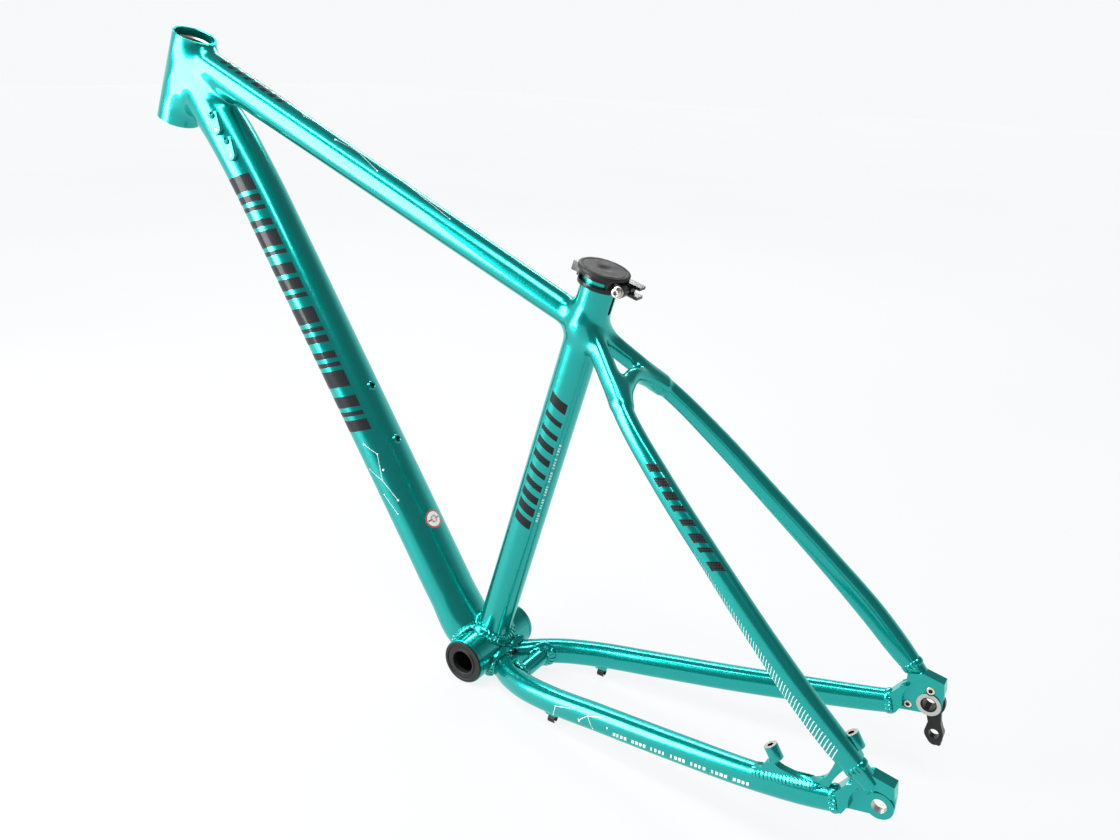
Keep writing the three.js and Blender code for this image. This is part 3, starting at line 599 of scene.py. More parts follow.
def welded_frame():
    skin = raw_skin()
    seat_bore = placed(post(SEAT_BORE, 60, SEAT_LENGTH + 9, 96), SEAT_PLACE)
    grooves = shell_grooves(1) + shell_grooves(-1)
    return cut(skin, *end_trims(), *grooves, head_bore(), shell_bore(), seat_bore, seat_slot())


# ---------------------------------------------------------------- weld beads

def meeting(branch, base, search, count=240):
    """Points where a branch tube's skin passes through a base tube, round the branch."""
    last = len(branch.centre) - 1
    rows = np.linspace(search[0] * last, search[1] * last, 60)
    angles = np.linspace(0, 2 * np.pi, count, endpoint=False)
    grid = branch.surface(np.repeat(rows, count), np.tile(angles, len(rows)))
    signs = (base.distance(grid)[0] > 0).reshape(len(rows), count)
    change = signs[1:] != signs[:-1]
    found = change.any(0)
    first = np.argmax(change, axis=0)
    low, high = rows[first], rows[first + 1]
    start = signs[first, np.arange(count)]
    for _ in range(14):
        middle = (low + high) / 2
        same = (base.distance(branch.surface(middle, angles))[0] > 0) == start
        low, high = np.where(same, middle, low), np.where(same, high, middle)
    return branch.surface((low + high) / 2, angles), found


def runs(keep):
    """Index runs of a ring where `keep` holds; a full ring is one closed run."""
    if keep.all():
        return [(np.arange(len(keep)), True)]
    order = np.roll(np.arange(len(keep)), -int(np.argmin(keep)))
    pieces = np.split(order, np.flatnonzero(np.diff(keep[order])) + 1)
    return [(piece, False) for piece in pieces if keep[piece[0]] and len(piece) > 6]


def even_steps(points, closed, step=0.45):
    """A curve's points at even steps, and how far along it they lie."""
    loop = np.vstack([points, points[:1]]) if closed else points
    knots = np.concatenate([[0], np.cumsum(np.linalg.norm(np.diff(loop, axis=0), axis=1))])
    count = max(4, int(knots[-1] / step))
    places = np.linspace(0, knots[-1], count, endpoint=not closed)
    return np.stack([np.interp(places, knots, loop[:, axis]) for axis in range(3)], axis=1), places


RIPPLE = 3.3  # length of one puddle along a bead


def on_skin(points, lift):
    """Points moved to a height above the blended tubes."""
    for _ in range(3):
        distance, direction = frame_distance(points)
        points = points - direction * (distance - lift)[:, None]
    return points


def bead_strip(toe_a, toe_b, rise, places, closed, seed, crown, columns=13):
    """Skin of a weld bead between two toes, like a row of overlapping round puddles."""
    random = np.random.default_rng(seed)
    across = np.linspace(-1, 1, columns)
    arch = np.sqrt(1 - across**2)
    phase = (places[:, None] + 2.6 * arch) / RIPPLE + 0.12 * np.sin(places / 4.7)[:, None]
    size = random.uniform(0.85, 1.15, int(phase.max()) + 2)[phase.astype(int)]
    puddle = (phase % 1.0) ** 0.8 * size
    from_end = np.minimum(places, places[-1] - places)
    end = np.ones(len(places)) if closed else np.clip(from_end / 7, 0, 1) ** 0.7
    width = (0.88 + 0.14 * puddle) * end[:, None]
    height = crown * arch * (0.45 + 0.6 * puddle) * end[:, None] - 0.25
    middle, half = (toe_a + toe_b)[:, None] / 2, (toe_b - toe_a)[:, None] / 2
    points = middle + half * (across * width)[..., None] + rise[:, None] * height[..., None]
    faces = grid_faces(len(places), columns, closed)
    if np.cross(half[1, 0], points[2, 0] - points[1, 0]) @ rise[1] < 0:
        faces = [face[::-1] for face in faces]
    return new_object("bead", points.reshape(-1, 3).tolist(), faces)


def corner_bead(points, base_normal, branch_normal, closed, seed, leg, crown=1.8):
    """Bead in the corner between two surfaces whose normals are given along the curve."""
    line, places = even_steps(points, closed)
    a, b = unit(base_normal(line)), unit(branch_normal(line))
    dot = (a * b).sum(1)[:, None]
    toe_a, toe_b = line + unit(b - a * dot) * leg, line + unit(a - b * dot) * leg
    return bead_strip(toe_a, toe_b, unit(a + b), places, closed, seed, crown)


def tube_beads(branch_name, base_name, seed, search, leg):
    """Beads round the meeting of two tubes, where no other tube covers it."""
    branch, base = tubes[branch_name], tubes[base_name]
    points, keep = meeting(branch, base, search)
    for name, other in tubes.items():
        if name not in (branch_name, base_name):
            keep &= other.distance(points)[0] > 0.4
    return [corner_bead(points[piece], lambda p: base.distance(p)[1], lambda p: branch.distance(p)[1],
                        closed, seed + k, leg) for k, (piece, closed) in enumerate(runs(keep))]


def ring_bead(tube, from_end, seed, half_width=3.4):
    """Bead round a stay, a distance in millimetres before its rear end."""
    angles = np.linspace(0, 2 * np.pi, 200, endpoint=False)
    row = len(tube.centre) - 1 - from_end / tube.step
    line, places = even_steps(tube.surface(np.full(200, row), angles), True)
    along = tube.tangent[int(row)] * half_width
    return bead_strip(line - along, line + along, unit(tube.distance(line)[1]), places, True, seed, 1.2)


BEADED_JOINTS = [  # branch, base, seed, part of the branch that is searched, leg
    ("down", "shell", 1, (0.7, 1.0), 6.6),
    ("seat", "shell", 11, (0.0, 0.2), 6.6),
    ("seat", "down", 21, (0.0, 0.4), 6),
    ("chain_stay_left", "shell", 31, (0.0, 0.3), 6.6),
    ("chain_stay_right", "shell", 31, (0.0, 0.3), 6.6),
    ("chain_bridge", "chain_stay_left", 41, (0.0, 0.5), 6),
    ("chain_bridge", "chain_stay_right", 51, (0.5, 1.0), 6),
]


def dropout_beads():
    beads = []
    for k, (_, side) in enumerate(SIDES):
        beads.append(ring_bead(tubes[f"seat_stay_{side}"], 17, 61 + k))
        beads.append(ring_bead(tubes[f"chain_stay_{side}"], 3, 63 + k))
    return beads


def mount_beads():
    """Beads where the brake mount's rib stands on the left chainstay."""
    stay = tubes["chain_stay_left"]
    beads = []
    for facing, face, first, last in ((1, MOUNT["outer"], 106, 46), (-1, MOUNT["inner"], 104, 50)):
        x = AXLE.x + np.linspace(first, last, 60)
        spots = np.stack([x, np.full(60, face), np.full(60, AXLE.z + 30)], axis=1)
        for _ in range(12):
            spots[:, 2] -= stay.distance(spots)[0] * 0.9
        beads.append(corner_bead(spots, lambda p: stay.distance(p)[1],
                                 lambda p: np.tile((0.0, facing, 0.0), (len(p), 1)), False,
                                 71 + facing, leg=4.2, crown=1.1))
    return beads


# ---------------------------------------------------------------- dropouts, brake mount, hanger

def axle_rod(side, place, inner, outer, radius, sides=64):
    return cross_rod(AXLE.x + place[0], AXLE.z + place[1], side * inner, side * outer, radius, sides)


def dropout_blank(side):
    """Plate and stay blocks, relieved round the axle on both faces, with a raised hub seat."""
    outline = PLATE + arc((0, 0), DROPOUT["boss_radius"], 180, 292)
    body = union(side_plate(side, outline, DROPOUT["recess_face"], DROPOUT["plate"]),
                 side_plate(side, SEAT_STAY_BLOCK, 74.6, 86),
                 side_plate(side, CHAIN_STAY_BLOCK, 71, 85))
    cut(body, axle_rod(side, (0, 0), 60, DROPOUT["recess_face"], 23, 96),
        axle_rod(side, (2, -4), DROPOUT["plate"], 100, 20.5, 96))
    seat = axle_rod(side, (0, 0), DROPOUT["hub_face"], DROPOUT["recess_face"] + 1, DROPOUT["hub_seat"])
    return union(body, seat)


def dropout_left():
    boss = axle_rod(1, (0, 0), DROPOUT["boss"] - 3, DROPOUT["boss"], DROPOUT["boss_radius"])
    return rounded(cut(union(dropout_blank(1), boss), axle_rod(1, (0, 0), 60, 100, AXLE_HOLE)), 0.7)


def dropout_right():
    sunk = DROPOUT["recess_face"] + M4_BOLT["head_depth"] + GAP
    tools = [axle_rod(-1, (0, 0), 60, 100, HANGER["insert"] + GAP), hanger_plates(GAP)]
    for place in HANGER_BOLTS.values():
        tools.append(axle_rod(-1, place, 70, sunk, M4_BOLT["head"] + GAP, 48))
        tools.append(axle_rod(-1, place, 70, 90, M4_BOLT["shank"] + GAP, 32))
    return rounded(cut(dropout_blank(-1), *tools), 0.6)


def hanger_plates(grow=0.0):
    """Triangle over both bolts and the axle, and an arm down to the derailleur eye."""
    inner, outer, nose = HANGER["inner"], HANGER["outer"], HANGER["nose"]
    behind = inner + 0.8

    def disc(place, radius):
        return (*place, radius + grow)

    def arm(a, b, near, far):
        return side_plate(-1, link(a, b), near - grow, far + grow)

    axle, upper, lower = disc((0, 0), 13.4), disc(HANGER_BOLTS["upper"], 6), disc(HANGER_BOLTS["lower"], 6)
    root, neck, eye = disc((-3.5, -7), 7), disc((-6.5, -21), 5.6), disc(DERAILLEUR_EYE["place"], 8.4)
    return union(
        arm(axle, upper, inner, outer),
        arm(axle, lower, inner, outer),
        arm(upper, lower, inner, outer),
        arm(root, neck, behind, outer + 1.4),
        arm(neck, eye, behind, outer + 2.6),
        arm(eye, disc((-8.6, -37), 6), behind, nose),
        arm(disc(DERAILLEUR_EYE["place"], 5), disc((-12.6, -40), 2.4), behind, nose),
    )


def derailleur_hanger():
    sleeve = axle_rod(-1, (0, 0), DROPOUT["hub_face"] + 1, HANGER["inner"] + 1, HANGER["insert"])
    collar = axle_rod(-1, (0, 0), HANGER["outer"] - 1, HANGER["nose"], 11)
    body = union(hanger_plates(), sleeve, collar)
    deep = DROPOUT["recess_face"] + M4_BOLT["length"] + GAP
    tools = [axle_rod(-1, (0, 0), 60, 100, HANGER["thread"]),
             axle_rod(-1, DERAILLEUR_EYE["place"], 60, 100, DERAILLEUR_EYE["radius"])]
    tools += [axle_rod(-1, place, 70, deep, M4_BOLT["shank"] + GAP, 32) for place in HANGER_BOLTS.values()]
    return rounded(cut(body, *tools), 0.5)


def hanger_bolt(place):
    """Button head bolt, pressed into the right dropout from its inner face."""
    head, depth = M4_BOLT["head"], M4_BOLT["head_depth"]
    shank, length = M4_BOLT["shank"], M4_BOLT["length"]
    body = lathe([(0, 0), (head - 0.7, 0), (head - 0.2, 0.25), (head, 0.8), (head, depth), (shank, depth),
                  (shank, length), (0, length)], 64)
    cut(body, post(M4_BOLT["key"], -1, M4_BOLT["key_depth"], 6))
    where = Matrix.Translation((AXLE.x + place[0], -DROPOUT["recess_face"], AXLE.z + place[1]))
    return placed(rounded(body, 0.12, 2), where @ SIDE_PLACE[-1])


def brake_mount_outline():
    points = [(104, -13)]
    points += curve(points[-1], (95, -11), (93.8, -4))
    points.append((85.8, 1))
    points += curve(points[-1], (84, -3.4), (74, -3.8))
    points += curve(points[-1], (52, -6.6), (43.6, 6))
    points += curve(points[-1], (37.7, 17), (35, 39))
    points += [(25, 45), (18, 35)]
    points += curve(points[-1], (36, 15), (39, 0))
    return points + [(44, -12), (64, -19), (91, -23)]


def on_post(place, height):
    """Point on a post's axis, `height` above its face."""
    (x0, z0), (x1, z1) = POSTS["rear"], POSTS["front"]
    up = Vector((z0 - z1, 0, x1 - x0)).normalized()
    return AXLE + Vector((place[0], POSTS["y"], place[1])) + up * height


def brake_mount():
    web = side_plate(1, brake_mount_outline(), MOUNT["inner"], MOUNT["outer"])
    places = (POSTS["front"], POSTS["rear"])
    depth = POSTS["depth"]
    posts = [rod(on_post(place, -depth - 3), on_post(place, 0), POSTS["radius"]) for place in places]
    holes = [rod(on_post(place, -depth), on_post(place, 1), POSTS["hole"], 40) for place in places]
    return rounded(cut(union(web, *posts), *holes), 0.9)


# ---------------------------------------------------------------- bottle bosses, ports, guides, exit

LINE_TOP, LINE_FOOT = Vector((281.2, 0, 391.2)), Vector((52.5, 0, 45.2))
LINE_DOWN = (LINE_FOOT - LINE_TOP).normalized()
LINE_OUT = Vector((LINE_DOWN.z, 0, -LINE_DOWN.x))
BOSS_LEAN = Matrix.Rotation(math.atan2(LINE_OUT.x, LINE_OUT.z), 4, "Y")


def boss_place(row):
    foot = LINE_TOP + LINE_DOWN * (176 + BOSS["pitch"] * row) + LINE_OUT * DOWN_TUBE[4][4]
    return Matrix.Translation(foot) @ BOSS_LEAN


def bottle_boss(row):
    """Flange of a rivet nut, dished round its screw."""
    flange, top, seat = BOSS["flange"], BOSS["top"], BOSS["seat"]
    floor = top - BOSS["seat_depth"]
    body = lathe([(0, -2), (flange + 0.5, -2), (flange + 0.5, 0.2), (flange, 0.7), (flange, top - 0.5),
                  (flange - 0.5, top), (seat + 0.3, top), (seat, top - 0.3), (seat, floor), (0, floor)], 72)
    return placed(body, boss_place(row))


def bottle_screw(row):
    """Plastic blanking screw sunk in its boss."""
    top = BOSS["top"]
    low = top - BOSS["seat_depth"] + GAP
    radius = BOSS["seat"] - GAP
    body = lathe([(0, low), (radius, low), (radius, top - 0.35), (radius - 0.35, top), (0, top)], 48)
    return placed(rounded(cut(body, post(1.6, top - 1, top + 1, 6)), 0.1, 2), boss_place(row))


PORT_CENTRES = {"upper": Vector((364.5, 0, 518.5)), "lower": Vector((343.6, 0, 493.0))}


def port_place(centre):
    """Local Z out of the tube's left side, local X down the tube."""
    out = Vector((-0.2, 0.965, 0.17)).normalized()
    slope = Vector((-0.36, 0, -0.93))
    down = (slope - out * slope.dot(out)).normalized()
    basis = Matrix((down, out.cross(down), out)).transposed().to_4x4()
    return Matrix.Translation(centre) @ basis


def port_cover(centre):
    """Round-ended cover with a slanted way for a cable and a countersunk screw hole."""
    face, reach, radius = PORT["face"], (PORT["length"] - PORT["width"]) / 2, PORT["width"] / 2
    outline = arc((-reach, 0), radius, 90, 270, 32) + arc((reach, 0), radius, -90, 90, 32)
    body = rounded(prism(outline, face - 6, face), 1.4, 5)
    way = rod((-PORT["length"], 0, face + 7), (2, 0, face - 6), PORT["hole"], 48)
    clear, top, bore = PORT["screw"] + GAP, face + 0.1, PORT["hole"]
    hole = lathe([(0, 20), (clear, 20), (clear, face - 0.6), (PORT["screw"] + 0.9, top), (0, top)], 48)
    placed(hole, Matrix.Translation((PORT["screw_at"], 0, 0)))
    lip = lathe([(bore, -2.6), (bore + 1.1, -2.6), (bore + 1.1, 0.7), (bore + 0.5, 1.3), (bore, 0.7)], 48)
    lean = Matrix.Translation((-8.6, 0, face - 1.2)) @ Matrix.Rotation(math.radians(-68), 4, "Y")
    body = cut(body, way, hole)
    return placed(joined("port", [body, placed(lip, lean)]), port_place(centre))


def port_screw(centre):
    face, radius = PORT["face"], PORT["screw"]
    foot, top = face - 6, face - GAP
    body = lathe([(0, foot), (radius, foot), (radius, top - 0.3), (radius - 0.3, top), (0, top)], 40)
    body = rounded(cut(body, post(1, face - 1.2, face + 1, 6)), 0.08, 2)
    return placed(body, port_place(centre) @ Matrix.Translation((PORT["screw_at"], 0, 0)))


def cable_guide(side):
    """Small chamfered block under a chainstay."""
    x, bottom, half, chamfer = GUIDE["x"] - AXLE.x, GUIDE["bottom"] - AXLE.z, GUIDE["half_length"], 1.6
    outline = [(x - half, bottom + 8), (x - half, bottom + chamfer), (x - half + chamfer, bottom),
               (x + half - chamfer, bottom), (x + half, bottom + chamfer), (x + half, bottom + 8)]
    y, width = GUIDE["y"], GUIDE["half_width"]
    return rounded(side_plate(side, outline, y - width, y + width), 0.7)


def cable_clip(side):
    """C-shaped clip on a saddle, open downwards."""
    half, radius, bore = 3.4, 4.4, 2.9
    ring = rod((-half, 0, -radius), (half, 0, -radius), radius)
    body = union(ring, block((-half, -3, -1.8), (half, 3, 0)))
    cut(body, rod((-half - 1, 0, -radius), (half + 1, 0, -radius), bore),
        block((-half - 1, -1.5, -2 * radius - 1), (half + 1, 1.5, -radius)))
    place = (GUIDE["x"], side * GUIDE["y"], GUIDE["bottom"] - GAP)
    return placed(rounded(body, 0.35), Matrix.Translation(place))


EXIT_PLACE = Matrix.Rotation(math.radians(90 - EXIT["angle"]), 4, "Y")


def cable_exit_boss():
    radius, bore, face = EXIT["radius"], EXIT["bore"], EXIT["face"]
    body = lathe([(bore, 20), (radius + 1.2, 20), (radius + 1.2, 24.2), (radius, 25.4), (radius, face - 0.5),
                  (radius - 0.5, face), (bore, face)], 56)
    return placed(body, EXIT_PLACE)


def cable_exit_grommet():
    radius, bore, face = EXIT["radius"], EXIT["bore"], EXIT["face"]
    sleeve, under = bore - GAP, face + GAP
    body = lathe([(1.6, face - 5), (sleeve, face - 5), (sleeve, under), (radius - 0.4, under),
                  (radius - 0.5, face + 0.9), (radius - 1, face + 1.6), (radius - 1.6, face + 1.8),
                  (1.9, face + 1.8), (1.6, face + 1.4)], 56)
    return placed(body, EXIT_PLACE)


# ---------------------------------------------------------------- seat clamp, its bolt, and the plugs

def bolt_rod(radius, y0, y1, sides=64):
    """Bar on the clamp bolt's axis, in the seat tube's frame."""
    return cross_rod(-CLAMP["reach"], CLAMP["height"], y0, y1, radius, sides)


def clamp_ring():
    """Ring with a window in each side, leaving a narrow band above and below each window."""
    bore, radius, low, high = CLAMP["bore"], CLAMP["radius"], CLAMP["low"], CLAMP["high"]
    ring = lathe([(bore, low), (radius, low), (radius, high), (bore, high)], 128)
    sector = [(0, 0), *arc((0, 0), 30, 40, 132, 40)]
    windows = [prism([(x, side * y) for x, y in sector], low + 3.4, high - 3.4) for side in (1, -1)]
    return cut(ring, *windows)


def seat_clamp():
    bore, radius, low, high, reach = (CLAMP[key] for key in ("bore", "radius", "low", "high", "reach"))
    split, outer, nut_face = CLAMP_EAR["split"], CLAMP_EAR["outer"], CLAMP_EAR["nut_face"]
    body = clamp_ring()
    for side in (1, -1):
        y0, y1 = sorted((side * split, side * outer))
        ear = block((-reach, y0, low + 0.4), (-bore + 1, y1, high - 0.4))
        union(body, union(ear, bolt_rod(CLAMP_EAR["radius"], y0, y1)))
    for z in (low, high - 3):
        union(body, block((-36.5, -nut_face - 1.6, z), (-bore + 1, -outer + 5, z + 3)))
    union(body, block((bore + 1, -5, low + 1), (radius + 2, 5, high)),
          block((radius + 1, -5, low + 3.4), (29.8, 5, high)))
    cut(body, block((-200, -split, low - 1), (-bore + 4, split, high + 1)),
        post(bore, low - 1, high + 1, 128), bolt_rod(CLAMP_BOLT["clear"], -20, 20, 40),
        bolt_rod(CLAMP_BOLT["nut"] + GAP, -outer - GAP, -200, 48))
    return placed(rounded(body, 0.55), SEAT_PLACE)


def clamp_nut():
    outer, nut_face = CLAMP_EAR["outer"], CLAMP_EAR["nut_face"]
    barrel = bolt_rod(CLAMP_BOLT["nut"], -outer - 2 * GAP, -nut_face)
    hole = bolt_rod(CLAMP_BOLT["shank"] + GAP, -200, 0, 40)
    return placed(rounded(cut(barrel, hole), 0.3), SEAT_PLACE)


def clamp_washer():
    face = CLAMP_EAR["outer"] + GAP
    body = cut(bolt_rod(CLAMP_WASHER["radius"], face, face + CLAMP_WASHER["thickness"]),
               bolt_rod(CLAMP_BOLT["clear"], 0, 200, 40))
    return placed(rounded(body, 0.18, 2), SEAT_PLACE)


def clamp_bolt():
    """Cap screw with a ridged head and a hexagonal socket."""
    seat = CLAMP_EAR["outer"] + 2 * GAP + CLAMP_WASHER["thickness"]
    head, length, shank = CLAMP_BOLT["head"], CLAMP_BOLT["head_length"], CLAMP_BOLT["shank"]
    front = seat + length
    start = -CLAMP_EAR["nut_face"] - 1
    profile = [(0, start), (shank - 0.4, start), (shank, start + 0.4), (shank, seat), (head - 0.2, seat),
               (head, seat + 0.2), (head, front - 0.9), (head - 0.25, front - 0.35), (head - 0.8, front),
               (2.75, front), (2.55, front - 0.25), (0, front - 0.25)]
    body = cut(lathe(profile, 96), post(CLAMP_BOLT["key"], seat + 2, front + 1, 6))
    where = Matrix.Translation((-CLAMP["reach"], 0, CLAMP["height"])) @ SIDE_PLACE[1]
    return placed(ridged(body, head), SEAT_PLACE @ where)


def ridged(obj, radius):
    """Presses fine ridges into the side of a round head."""
    for vertex in obj.data.vertices:
        x, y, _ = vertex.co
        if abs(math.hypot(x, y) - radius) < 0.02:
            sink = 0.12 * (1 + math.cos(48 * math.atan2(y, x)))
            vertex.co.xy *= 1 - sink / radius / 2
    return obj


def seat_tube_plug():
    """Dished cap with a moulded seam line, and a skirt that stands in the bore."""
    radius = 24.4
    under = SEAT_LENGTH + GAP
    top = under + 3.7
    skirt, inner, foot = SEAT_BORE - GAP, 13, under - 20
    dish = [(r, top - 1.4 * (0.5 + 0.5 * math.cos(math.pi * r / 9))) for r in np.linspace(9, 0, 10)]
    profile = [(0, under), (inner, under), (inner, foot), (skirt - 0.6, foot), (skirt, foot + 2),
               (skirt, under), (radius - 0.7, under), (radius - 0.2, under + 0.25), (radius, under + 0.8),
               (radius, top - 1.1), (radius - 0.25, top - 0.4), (radius - 0.9, top), (21.6, top),
               (21.2, top - 0.35), (20.4, top - 0.35), (20.0, top), *dish]
    body = lathe(profile, 144)
    seam = block((4.5, -0.22, top - 0.3), (24.0, 0.22, top + 1))
    return placed(cut(body, placed(seam, Matrix.Rotation(math.radians(-60), 4, "Z"))), SEAT_PLACE)


def bottom_bracket_plug(side):
    """Stepped ring cap that closes one end of the shell."""
    back = SHELL["half"] - SHELL["recess_depth"] + GAP
    under, front = SHELL["half"] + GAP, SHELL["half"] + 1.5
    skirt, inner, foot = SHELL["bore"] - GAP, 17.6, back - 16
    hole, neck, flange = 12.3, SHELL["recess"] - GAP, 22.7
    profile = [(hole, back - 3), (inner, back - 3), (inner, foot), (skirt - 0.5, foot), (skirt, foot + 2),
               (skirt, back), (neck, back), (neck, under), (flange, under), (flange, front - 0.35),
               (flange - 0.35, front), (19.7, front), (19.4, front - 0.3), (19.1, front - 0.9),
               (15.4, front - 0.9), (15.1, front - 0.3), (14.8, front), (hole + 0.5, front),
               (hole, front - 0.5)]
    return placed(lathe(profile, 144), SIDE_PLACE[side])


# ---------------------------------------------------------------- materials

class Nodes:
    """Node tree that is built node by node."""

    def __init__(self, tree):
        self.tree = tree

    def node(self, kind, inputs=None, **settings):
        node = self.tree.nodes.new(kind)
        for name, value in settings.items():
            setattr(node, name, value)
        for name, value in (inputs or {}).items():
            self.feed(node.inputs[name], value)
        return node

    def feed(self, socket, value):
        if isinstance(value, bpy.types.NodeSocket):
            self.tree.links.new(value, socket)
        else:
            socket.default_value = value


class Shader(Nodes):
    """Material whose Principled shader is fed by a few procedural nodes in object space."""

    def __init__(self, name):
        self.material = bpy.data.materials.new(name)
        self.material.use_nodes = True
        super().__init__(self.material.node_tree)
        self.surface = self.tree.nodes["Principled BSDF"]
        self.place = self.node("ShaderNodeTexCoord").outputs["Object"]

    def set(self, **values):
        for name, value in values.items():
            self.feed(self.surface.inputs[name.replace("_", " ")], value)

    def math(self, operation, a, b=0.0, c=0.0):
        return self.node("ShaderNodeMath", {0: a, 1: b, 2: c}, operation=operation).outputs[0]

    def noise(self, size, detail=3.0, squeeze=1.0, rough=0.5):
        """Noise with features of a size in millimetres, squeezed across the bicycle into streaks."""
        where = self.place
        if squeeze != 1.0:
            where = self.node("ShaderNodeMapping", {"Vector": where, "Scale": (1.0, squeeze, 1.0)}).outputs[0]
        inputs = {"Vector": where, "Scale": 1000.0 / size, "Detail": detail, "Roughness": rough}
        return self.node("ShaderNodeTexNoise", inputs).outputs["Fac"]

    def cells(self, size):
        """Random grey per cell of a size in millimetres."""
        node = self.node("ShaderNodeTexVoronoi", {"Vector": self.place, "Scale": 1000.0 / size})
        return self.node("ShaderNodeSeparateColor", {"Color": node.outputs["Color"]}).outputs[0]

    def span(self, value, low, high):
        """Value from 0..1 mapped to low..high."""
        return self.math("MULTIPLY_ADD", value, high - low, low)

    def mix(self, factor, a, b):
        node = self.node("ShaderNodeMix", data_type="RGBA")
        for key, value in (("Factor_Float", factor), ("A_Color", a), ("B_Color", b)):
            self.feed(next(s for s in node.inputs if s.identifier == key), value)
        return next(s for s in node.outputs if s.identifier == "Result_Color")

    def bump(self, height, strength, depth):
        inputs = {"Height": height, "Strength": strength, "Distance": depth / 1000}
        return self.node("ShaderNodeBump", inputs).outputs[0]


def rgb(red, green, blue):
    return (red, green, blue, 1.0)


def candy_paint():
    """Metallic turquoise flake under a gloss clear coat with faint orange peel."""
    shader = Shader("turquoise_candy_paint")
    cloud, flake = shader.noise(38, 2), shader.cells(0.28)
    base = shader.mix(shader.span(cloud, 0.2, 0.8), rgb(0.0, 0.33, 0.30), rgb(0.0, 0.37, 0.34))
    colour = shader.mix(shader.span(flake, 0.0, 0.22), base, rgb(0.015, 0.47, 0.43))
    rough = shader.span(shader.noise(9, 2), 0.20, 0.27)
    shader.set(Base_Color=colour, Metallic=0.9, Roughness=rough, Specular_Tint=rgb(0.3, 0.95, 0.9))
    grain = shader.bump(flake, 0.05, 0.02)
    shader.set(Normal=grain, Coat_Weight=0.65, Coat_Roughness=0.035, Coat_IOR=1.5)
    shader.set(Coat_Normal=shader.bump(shader.noise(3.5, 2), 0.06, 0.05))
    return shader.material


def mottled(name, dark, light, tone, rough, bump, wear=None, grain=None, **settings):
    """Material between two greys or colours. Tone, wear and grain are (size, detail, squeeze, rough) of the
    noise that its colour, roughness and bump follow; wear and grain are the tone's if not given."""
    shader = Shader(name)
    tone = shader.noise(*tone)
    wear = shader.noise(*wear) if wear else tone
    grain = shader.noise(*grain) if grain else tone
    shader.set(Base_Color=shader.mix(tone, rgb(*dark), rgb(*light)), Roughness=shader.span(wear, *rough))
    shader.set(Normal=shader.bump(grain, *bump), **settings)
    return shader.material


def carbon_print():
    """Printed carbon weave: two tones in small squares, under the clear coat."""
    shader = Shader("carbon_weave_print")
    slope = (0, math.radians(33.5), 0)
    turned = shader.node("ShaderNodeMapping", {"Vector": shader.place, "Rotation": slope}).outputs[0]
    flat = shader.node("ShaderNodeSeparateXYZ", {"Vector": turned})
    turns = [shader.math("MULTIPLY", flat.outputs[axis], 2 * math.pi / 0.0030) for axis in (0, 2)]
    wave = [shader.math("SINE", turn) for turn in turns]
    weave = shader.math("MULTIPLY_ADD", shader.math("MULTIPLY", *wave), 0.5, 0.5)
    step = shader.math("SMOOTH_MIN", shader.math("MULTIPLY", weave, 1.6), 1.0, 0.2)
    colour = shader.mix(step, rgb(0.001, 0.002, 0.002), rgb(0.018, 0.021, 0.023))
    shader.set(Base_Color=colour, Roughness=shader.span(weave, 0.3, 0.45), Specular_IOR_Level=0.1)
    shader.set(Coat_Weight=0.2, Coat_Roughness=0.05)
    shader.set(Normal=shader.bump(weave, 0.2, 0.08))
    return shader.material


def studio_floor():
    """Pale translucent floor, lit a little from beneath so that shadows stay faint."""
    shader = Shader("studio_floor")
    cloud = shader.noise(900, 2)
    shader.set(Base_Color=shader.mix(cloud, rgb(0.06, 0.061, 0.062), rgb(0.07, 0.071, 0.072)), Roughness=0.62)
    shader.set(Specular_IOR_Level=0.2, Emission_Color=rgb(0.985, 0.993, 1.0))
    shader.set(Emission_Strength=shader.span(cloud, 0.85, 0.87))
    return shader.material


paint = candy_paint()
bare = mottled("machined_aluminium", (0.46, 0.45, 0.42), (0.66, 0.64, 0.60), (1.0, 4, 9), (0.28, 0.46),
               (0.12, 0.05), wear=(2.4, 3), Metallic=1.0)
# Black anodised finish of the clamp, nut and hanger, also used as painted shade in holes and inside the
# shell.
black_anodised_and_shade = mottled("satin_black_anodised_and_painted_shade", (0.003, 0.003, 0.0035), (0.009, 0.009, 0.010), (7, 3), (0.2, 0.32),
                   (0.1, 0.02), grain=(0.35, 3), Metallic=0.3)
plastic = mottled("moulded_black_plastic", (0.004, 0.004, 0.0045), (0.012, 0.012, 0.013), (11, 4),
                  (0.42, 0.6), (0.3, 0.05), grain=(0.5, 4, 1.0, 0.65), Specular_IOR_Level=0.35)
steel = mottled("stainless_steel", (0.50, 0.47, 0.43), (0.70, 0.67, 0.62), (0.8, 4, 12), (0.18, 0.34),
                (0.08, 0.03), Metallic=1.0)
champagne = mottled("champagne_bolt", (0.72, 0.60, 0.47), (0.84, 0.74, 0.62), (1.6, 3), (0.3, 0.45),
                    (0.1, 0.03), Metallic=0.85)
white_ink, red_ink = (
    mottled(name, dark, light, (2.2, 4), (0.24, 0.36), (0.05, 0.03), Coat_Weight=0.7, Coat_Roughness=0.04)
    for name, dark, light in (("white_ink", (0.72, 0.80, 0.79), (0.86, 0.90, 0.89)),
                              ("red_ink", (0.55, 0.05, 0.03), (0.66, 0.08, 0.05))))
carbon = carbon_print()


def refinish_faces(obj, chosen, material=None):
    """Gives another finish to the faces whose corners all pass `stripped(corner, normal)`, in millimetres."""
    obj.data.materials.append(material or bare)
    index = len(obj.data.materials) - 1
    spots = [vertex.co * 1000 for vertex in obj.data.vertices]
    for face in obj.data.polygons:
        if all(chosen(spots[k], face.normal) for k in face.vertices):
            face.material_index = index


def off_axis(point, base, direction):
    """Distance from an axis, and height along it."""
    offset = point - Vector(base)
    height = offset.dot(direction)
    return (offset - Vector(direction) * height).length, height


